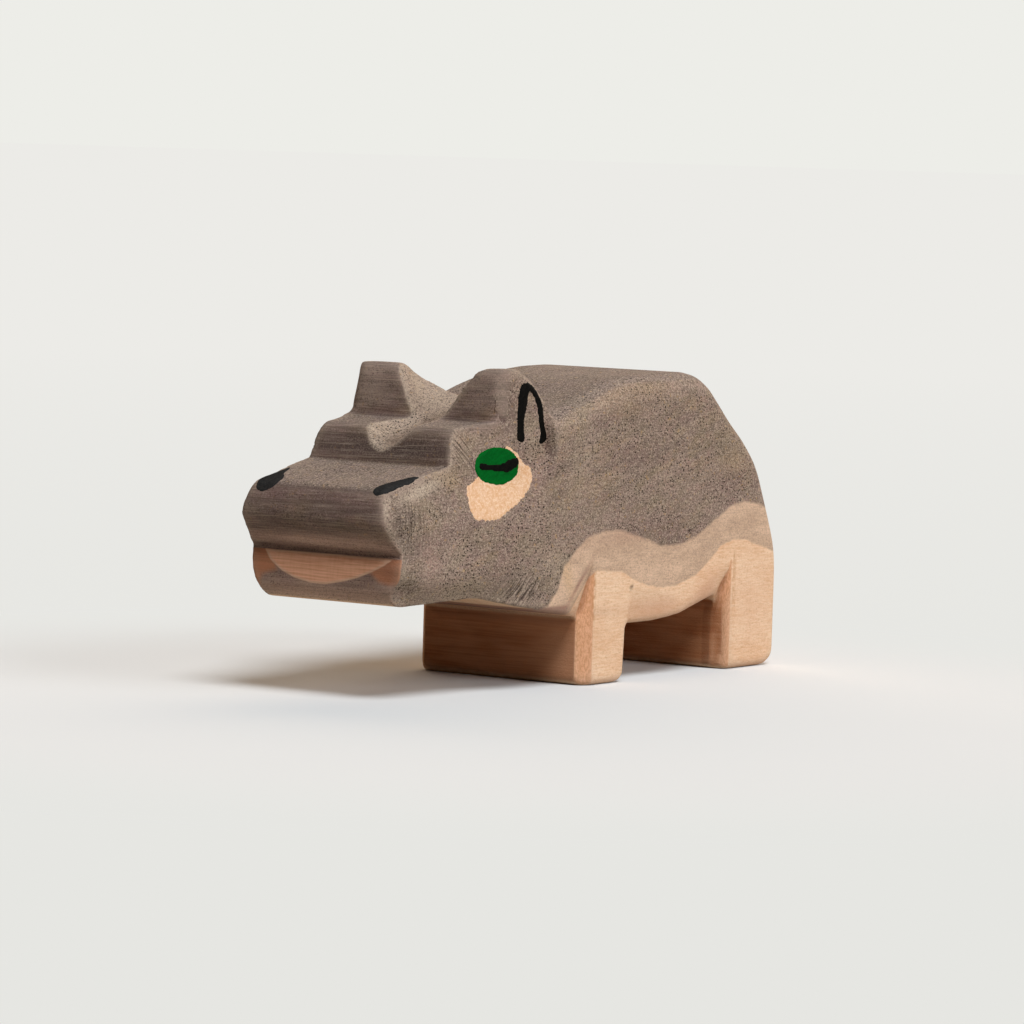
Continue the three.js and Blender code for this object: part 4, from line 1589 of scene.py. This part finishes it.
@dataclass
class PaintMark:
    """A thin film of paint that follows the wood, from a flat outline in millimetres.

    It stands off the wood by its height and rises from its sunk rim over a short way. Its edge wanders as the
    brush did, by its roughness and ripple. A mark that lies on another starts under that one's surface.
    """

    mark: str
    side: Side
    facing: Facing
    slot: str
    outline: tuple[Point, ...]
    finish: bpy.types.Material
    height: float
    seed: int
    roughen: float = 0.05
    ripple: float = 0.7
    sink: float = 0.15
    rise: float = 0.3
    under: float = 0.0
    step: float = 0.14
    rim_gap: float = 0.9
    on_rim: float = 0.05
    fill: float = 0.32
    row: float = 0.866
    lean: tuple[float, float] = (0.766, 0.643)
    off_flank: float = 40.0
    off_snout: float = 90.0

    @property
    def node(self) -> str:
        """The name of the painted node that the film replaces."""
        return f"{self.side.name.lower()}_{self.mark}"

    def build(self, body: bpy.types.Object) -> bpy.types.Object:
        """Lays the film on the body.

        Args:
            body: The wooden body.

        Returns:
            The film.
        """
        name = f"{self.node}_paint"
        sheet = bpy.data.objects.new(f"{name}_sheet", self.flat_sheet(name))
        bpy.context.scene.collection.objects.link(sheet)
        modifier = sheet.modifiers.new("film", "NODES")
        modifier.node_group = film_tree()
        on_snout = self.facing is Facing.SNOUT
        chosen = {
            "Body": body, "Material": self.finish,
            "Direction": Vector((-self.lean[0], 0, -self.lean[1]) if on_snout else (0, -self.side.value, 0)),
            "Height": self.height * MM, "Sink": self.sink * MM, "Rise": self.rise * MM,
        }
        for item in modifier.node_group.interface.items_tree:
            if item.item_type == "SOCKET" and item.in_out == "INPUT" and item.name in chosen:
                modifier[item.identifier] = chosen[item.name]
        bpy.context.view_layer.update()
        made = bpy.data.meshes.new_from_object(sheet.evaluated_get(bpy.context.evaluated_depsgraph_get()))
        bpy.data.objects.remove(sheet)
        film = plain_object(name, made, self.finish)
        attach(film, BODY)
        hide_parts(self.node)
        return film

    def rounded_outline(self) -> Array:
        """Draws a smooth curve through the outline's corners.

        Returns:
            The curve's points, anticlockwise and closely spaced.
        """
        corners = np.array(self.outline, float)
        if np.cross(corners, np.roll(corners, -1, 0)).sum() < 0:
            corners = corners[::-1]
        rounded = []
        for a, b, c, d in zip(*(np.roll(corners, shift, 0) for shift in (1, 0, -1, -2))):
            count = max(2, round(np.linalg.norm(c - b) / self.step))
            for share in np.arange(count) / count:
                square, cube = share ** 2, share ** 3
                curved = (2 * a - 5 * b + 4 * c - d) * square + (3 * b - a - 3 * c + d) * cube
                rounded.append(0.5 * (2 * b + (c - a) * share + curved))
        return np.array(rounded)

    def brushed_outline(self) -> Array:
        """Roughens the curve as a brush does, and moves it out by what its sunk rim hides.

        Returns:
            The outline's points, closely spaced.
        """
        line = self.rounded_outline()
        ahead = np.roll(line, -1, 0) - np.roll(line, 1, 0)
        length = np.maximum(np.linalg.norm(ahead, axis=1), TINY)
        outward = np.stack([ahead[:, 1], -ahead[:, 0]], axis=1) / length[:, None]
        chance = random.Random(self.seed)
        knots = max(4, round(len(line) * self.step / self.ripple))
        heights = np.array([chance.uniform(-1, 1) for _ in range(knots)])
        place = np.arange(len(line)) / len(line) * knots
        low = place.astype(int)
        blend = smooth_step(place - low, (0, 1))
        wave = heights[low % knots] * (1 - blend) + heights[(low + 1) % knots] * blend
        # The film's rim rises as a smooth step, and this is how far along it the film comes out of the wood.
        risen = (self.sink + self.under) / (self.sink + self.height)
        hidden = self.rise * (0.5 - math.sin(math.asin(1 - 2 * risen) / 3))
        return line + outward * (wave * self.roughen + hidden)[:, None]

    def flat_sheet(self, name: str) -> bpy.types.Mesh:
        """Fills the outline with small triangles, and notes how far each point is from the rim.

        Args:
            name: The mesh's name.

        Returns:
            The flat mesh, in metres, well off the wood.
        """
        line = self.brushed_outline()
        closed = np.vstack([line, line[:1]])
        low, high = line.min(0), line.max(0)
        columns = np.arange(low[0], high[0], self.fill)
        rows = np.arange(low[1], high[1], self.fill * self.row)
        grid = np.array([(u + (i % 2) * self.fill / 2, v) for i, v in enumerate(rows) for u in columns])
        depth = np.where(inside(grid, line), 1, -1) * line_distance(grid, closed)
        grid = grid[depth > self.step * self.rim_gap]
        ring = [(i, (i + 1) % len(line)) for i in range(len(line))]
        everything = [Vector(p) for p in np.vstack([line, grid])]
        inside_only, nearness = 1, 1e-6
        vertices, _, faces, *_ = delaunay_2d_cdt(everything, ring, [], inside_only, nearness)
        flat = np.array([tuple(v) for v in vertices])
        rim = line_distance(flat, closed)
        rim[rim < self.step * self.on_rim] = 0.0
        if self.facing is Facing.SNOUT:
            (out, up), off = self.lean, self.off_snout
            placed = [(off * out - v * up, u, off * up + v * out) for u, v in flat]
        else:
            placed = [(u, self.side.value * self.off_flank, v) for u, v in flat]
            if self.side is Side.LEFT:
                faces = [tuple(reversed(f)) for f in faces]
        mesh = bpy.data.meshes.new(name)
        mesh.from_pydata([tuple(c * MM for c in p) for p in placed], [], [tuple(f) for f in faces])
        attribute = mesh.attributes.new("rim", "FLOAT", "POINT")
        attribute.data.foreach_set("value", (rim * MM).astype(np.float32))
        return mesh


def film_tree() -> Tree:
    """Builds the Geometry Nodes that press a flat sheet onto the body and give it a rounded rim.

    Returns:
        The node tree, made once and then shared.
    """
    known = bpy.data.node_groups.get("paint_film")
    if known:
        return known
    tree = bpy.data.node_groups.new("paint_film", "GeometryNodeTree")
    for name, kind in (
        ("Geometry", "Geometry"), ("Body", "Object"), ("Direction", "Vector"), ("Height", "Float"),
        ("Sink", "Float"), ("Rise", "Float"), ("Material", "Material"),
    ):
        tree.interface.new_socket(name, in_out="INPUT", socket_type="NodeSocket" + kind)
    tree.interface.new_socket("Geometry", in_out="OUTPUT", socket_type="NodeSocketGeometry")
    given = add_node(tree, "NodeGroupInput").outputs
    wood = add_node(tree, "GeometryNodeObjectInfo", {"Object": given["Body"]}, transform_space="RELATIVE")
    ray = add_node(
        tree, "GeometryNodeRaycast",
        {"Target Geometry": wood.outputs["Geometry"], "Ray Direction": given["Direction"], "Ray Length": 0.2},
        data_type="FLOAT_VECTOR", mapping="INTERPOLATED",
    ).outputs
    rim = add_node(tree, "GeometryNodeInputNamedAttribute", {"Name": "rim"}, data_type="FLOAT")
    ramp = add_node(
        tree, "ShaderNodeMapRange",
        {"Value": rim.outputs["Attribute"], "From Min": 0.0, "From Max": given["Rise"]},
        interpolation_type="SMOOTHSTEP",
    )
    sunk, deeper = (
        add_node(tree, "ShaderNodeMath", {0: given["Sink"], 1: times}, operation="MULTIPLY").outputs[0]
        for times in (-1.0, -2.0)
    )
    skins = []
    for full in (given["Height"], deeper):
        lift = add_node(tree, "ShaderNodeMix", {0: ramp.outputs[0], 2: sunk, 3: full}).outputs[0]
        offset = add_node(
            tree, "ShaderNodeVectorMath", {0: ray["Hit Normal"], "Scale": lift}, operation="SCALE",
        )
        place = add_node(
            tree, "ShaderNodeVectorMath", {0: ray["Hit Position"], 1: offset.outputs[0]}, operation="ADD",
        )
        pressed = {"Geometry": given["Geometry"], "Position": place.outputs[0]}
        skins.append(add_node(tree, "GeometryNodeSetPosition", pressed).outputs[0])
    over, under = skins
    flipped = add_node(tree, "GeometryNodeFlipFaces", {"Mesh": under}).outputs[0]
    joined = add_node(tree, "GeometryNodeJoinGeometry", {"Geometry": over})
    tree.links.new(flipped, joined.inputs[0])
    merging = {"Geometry": joined.outputs[0], "Distance": 0.001 * MM}
    merged = add_node(tree, "GeometryNodeMergeByDistance", merging).outputs[0]
    real = add_node(tree, "GeometryNodeRealizeInstances", {"Geometry": merged}).outputs[0]
    dressed = add_node(tree, "GeometryNodeSetMaterial", {"Geometry": real, "Material": given["Material"]})
    add_node(tree, "NodeGroupOutput", {"Geometry": dressed.outputs[0]})
    return tree


@dataclass
class FaceMarks:
    """The head's painted marks: each side's pale eye patch, green iris, pupil, ear outline and nostril."""

    iris: tuple[Point, ...] = (
        (36.5, 43.1), (35.1, 45.5), (32.6, 46.7), (29.5, 46.9), (26.2, 46.1), (24.6, 43.8), (25, 41.5),
        (27.9, 40.1), (31.3, 39.9), (34.7, 40.8),
    )
    patch: tuple[Point, ...] = (
        (27.1, 47.1), (23, 44), (21, 42.4), (21.1, 40.5), (22.2, 38.5), (25, 36.6), (28.2, 35), (32.4, 33.4),
        (36.4, 33.4), (38.9, 33.8), (39.6, 36), (39.6, 38.3), (39, 39.9), (36.5, 41.1), (34, 43.5), (30, 45.5),
    )
    pupil: tuple[Point, ...] = (
        (35.3, 43.8), (34.6, 44.1), (33.2, 43.9), (31.5, 43.7), (29.1, 43.9), (28.0, 44.3), (27.0, 44.6),
        (25.9, 44.8), (24.8, 44.8), (24.4, 44.1), (24.7, 43.5), (25.5, 42.9), (27.6, 42.2), (29.4, 42.3),
        (32.7, 42.6), (35.0, 42.9),
    )
    ear: tuple[Point, ...] = (
        (23.7, 47.7), (24.9, 48.4), (24.9, 50.7), (24.9, 52.7), (24.7, 54.7), (24.4, 56.6), (23.9, 57.9),
        (23.2, 58.7), (22.0, 59.1), (20.7, 58.8), (19.3, 58.0), (18.3, 56.9), (17.6, 55.5), (17.2, 54.2),
        (17.0, 52.9), (16.6, 50.5), (16.3, 48.6), (16.7, 47.7), (17.9, 47.3), (18.4, 47.7), (18.1, 48.9),
        (18.1, 50.1), (18.4, 51.6), (18.6, 52.9), (19.1, 54.9), (20.0, 56.4), (20.9, 57.2), (21.4, 57.0),
        (21.7, 55.8), (22.0, 54.2), (22.6, 52.6), (22.9, 51.0), (22.8, 49.6), (22.6, 48.2),
    )
    left_nostril: tuple[Point, ...] = (
        (12.0, -9.7), (12.5, -10.7), (13.3, -11.2), (14.2, -11.0), (14.8, -10.3), (15.1, -8.8), (15.2, -6.8),
        (15.3, -4.9), (15.3, -3.3), (15.1, -1.8), (13.9, -2.2), (13.4, -3.2), (13.0, -4.4), (12.6, -5.5),
        (12.25, -6.5), (12.1, -7.6), (12.0, -8.7),
    )
    right_nostril: tuple[Point, ...] = (
        (-14.5, -11.2), (-13.7, -11.9), (-12.7, -12.1), (-11.4, -11.6), (-10.3, -10.4), (-10.4, -8.4),
        (-11.6, -6.6), (-13.1, -5.1), (-14.8, -1.8), (-15.1, -3.4), (-15.1, -6.0), (-15.0, -9.0),
    )
    cream: BrushedPaint = BrushedPaint(
        name="acrylic_cream_brushed", colour="#E5B793", shade="#D69A68", light="#F3D2B0",
        patch=(0.8, 0.8, 0.8), shade_share=0.6, light_share=0.6, roughness=0.6,
    )
    green: BrushedPaint = BrushedPaint(
        name="enamel_green_brushed", colour="#02581B", shade="#014414", light="#056828",
        patch=(2.2, 1.0, 0.6), shade_share=0.6, light_share=0.25, roughness=0.42,
    )
    black: BrushedPaint = BrushedPaint(
        name="acrylic_black_brushed", colour="#070605", shade="#13100C", light="#1F1914",
        patch=(1.4, 0.8, 0.5), shade_share=0.5, light_share=0.25, roughness=0.4,
    )
    charcoal: BrushedPaint = BrushedPaint(
        name="acrylic_charcoal_brushed", colour="#2E2C2B", shade="#23211F", light="#47423D",
        patch=(1.2, 1.4, 0.5), shade_share=0.5, light_share=0.3, roughness=0.9, gloss=0.0,
    )

    def build(self, body: bpy.types.Object) -> list[bpy.types.Object]:
        """Paints both sides.

        Args:
            body: The wooden body.

        Returns:
            The films.
        """
        paints = (self.cream, self.green, self.black, self.charcoal)
        cream, green, black, charcoal = (paint.material() for paint in paints)
        films = []
        for side in Side:
            flank, snout = (side, Facing.FLANK), (side, Facing.SNOUT)
            nostril = self.left_nostril if side is Side.LEFT else self.right_nostril
            marks = (
                PaintMark(
                    "eye_patch", *flank, "cream_paint", self.patch, cream,
                    height=0.05, seed=4, roughen=0.2, ripple=0.42,
                ),
                PaintMark(
                    "iris", *flank, "green_paint", self.iris, green, height=0.13, seed=5, roughen=0.07,
                ),
                PaintMark(
                    "pupil", *flank, "black_paint", self.pupil, black,
                    height=0.22, seed=6, roughen=0.08, rise=0.25, under=0.13,
                ),
                PaintMark(
                    "ear_outline", *flank, "black_paint", self.ear, black,
                    height=0.1, seed=7, roughen=0.09, rise=0.25,
                ),
                PaintMark(
                    "nostril", *snout, "black_paint", nostril, charcoal,
                    height=0.1, seed=8, fill=0.17, step=0.1,
                ),
            )
            films.extend(mark.build(body) for mark in marks)
        return films


def main() -> None:
    """Builds the scene in order and reports each piece."""
    logging.basicConfig(level=logging.INFO, format="%(message)s")
    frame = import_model()
    PhotographCamera().place()
    Studio().build()
    body = CarvedBody().build(frame["nodes"]["carved_body"])
    for piece in (body, *FaceMarks().build(body)):
        LOG.info("%s: %d faces", piece.name, len(piece.data.polygons))
    bpy.context.scene.view_settings.view_transform = "Standard"


if __name__ == "__main__":
    main()
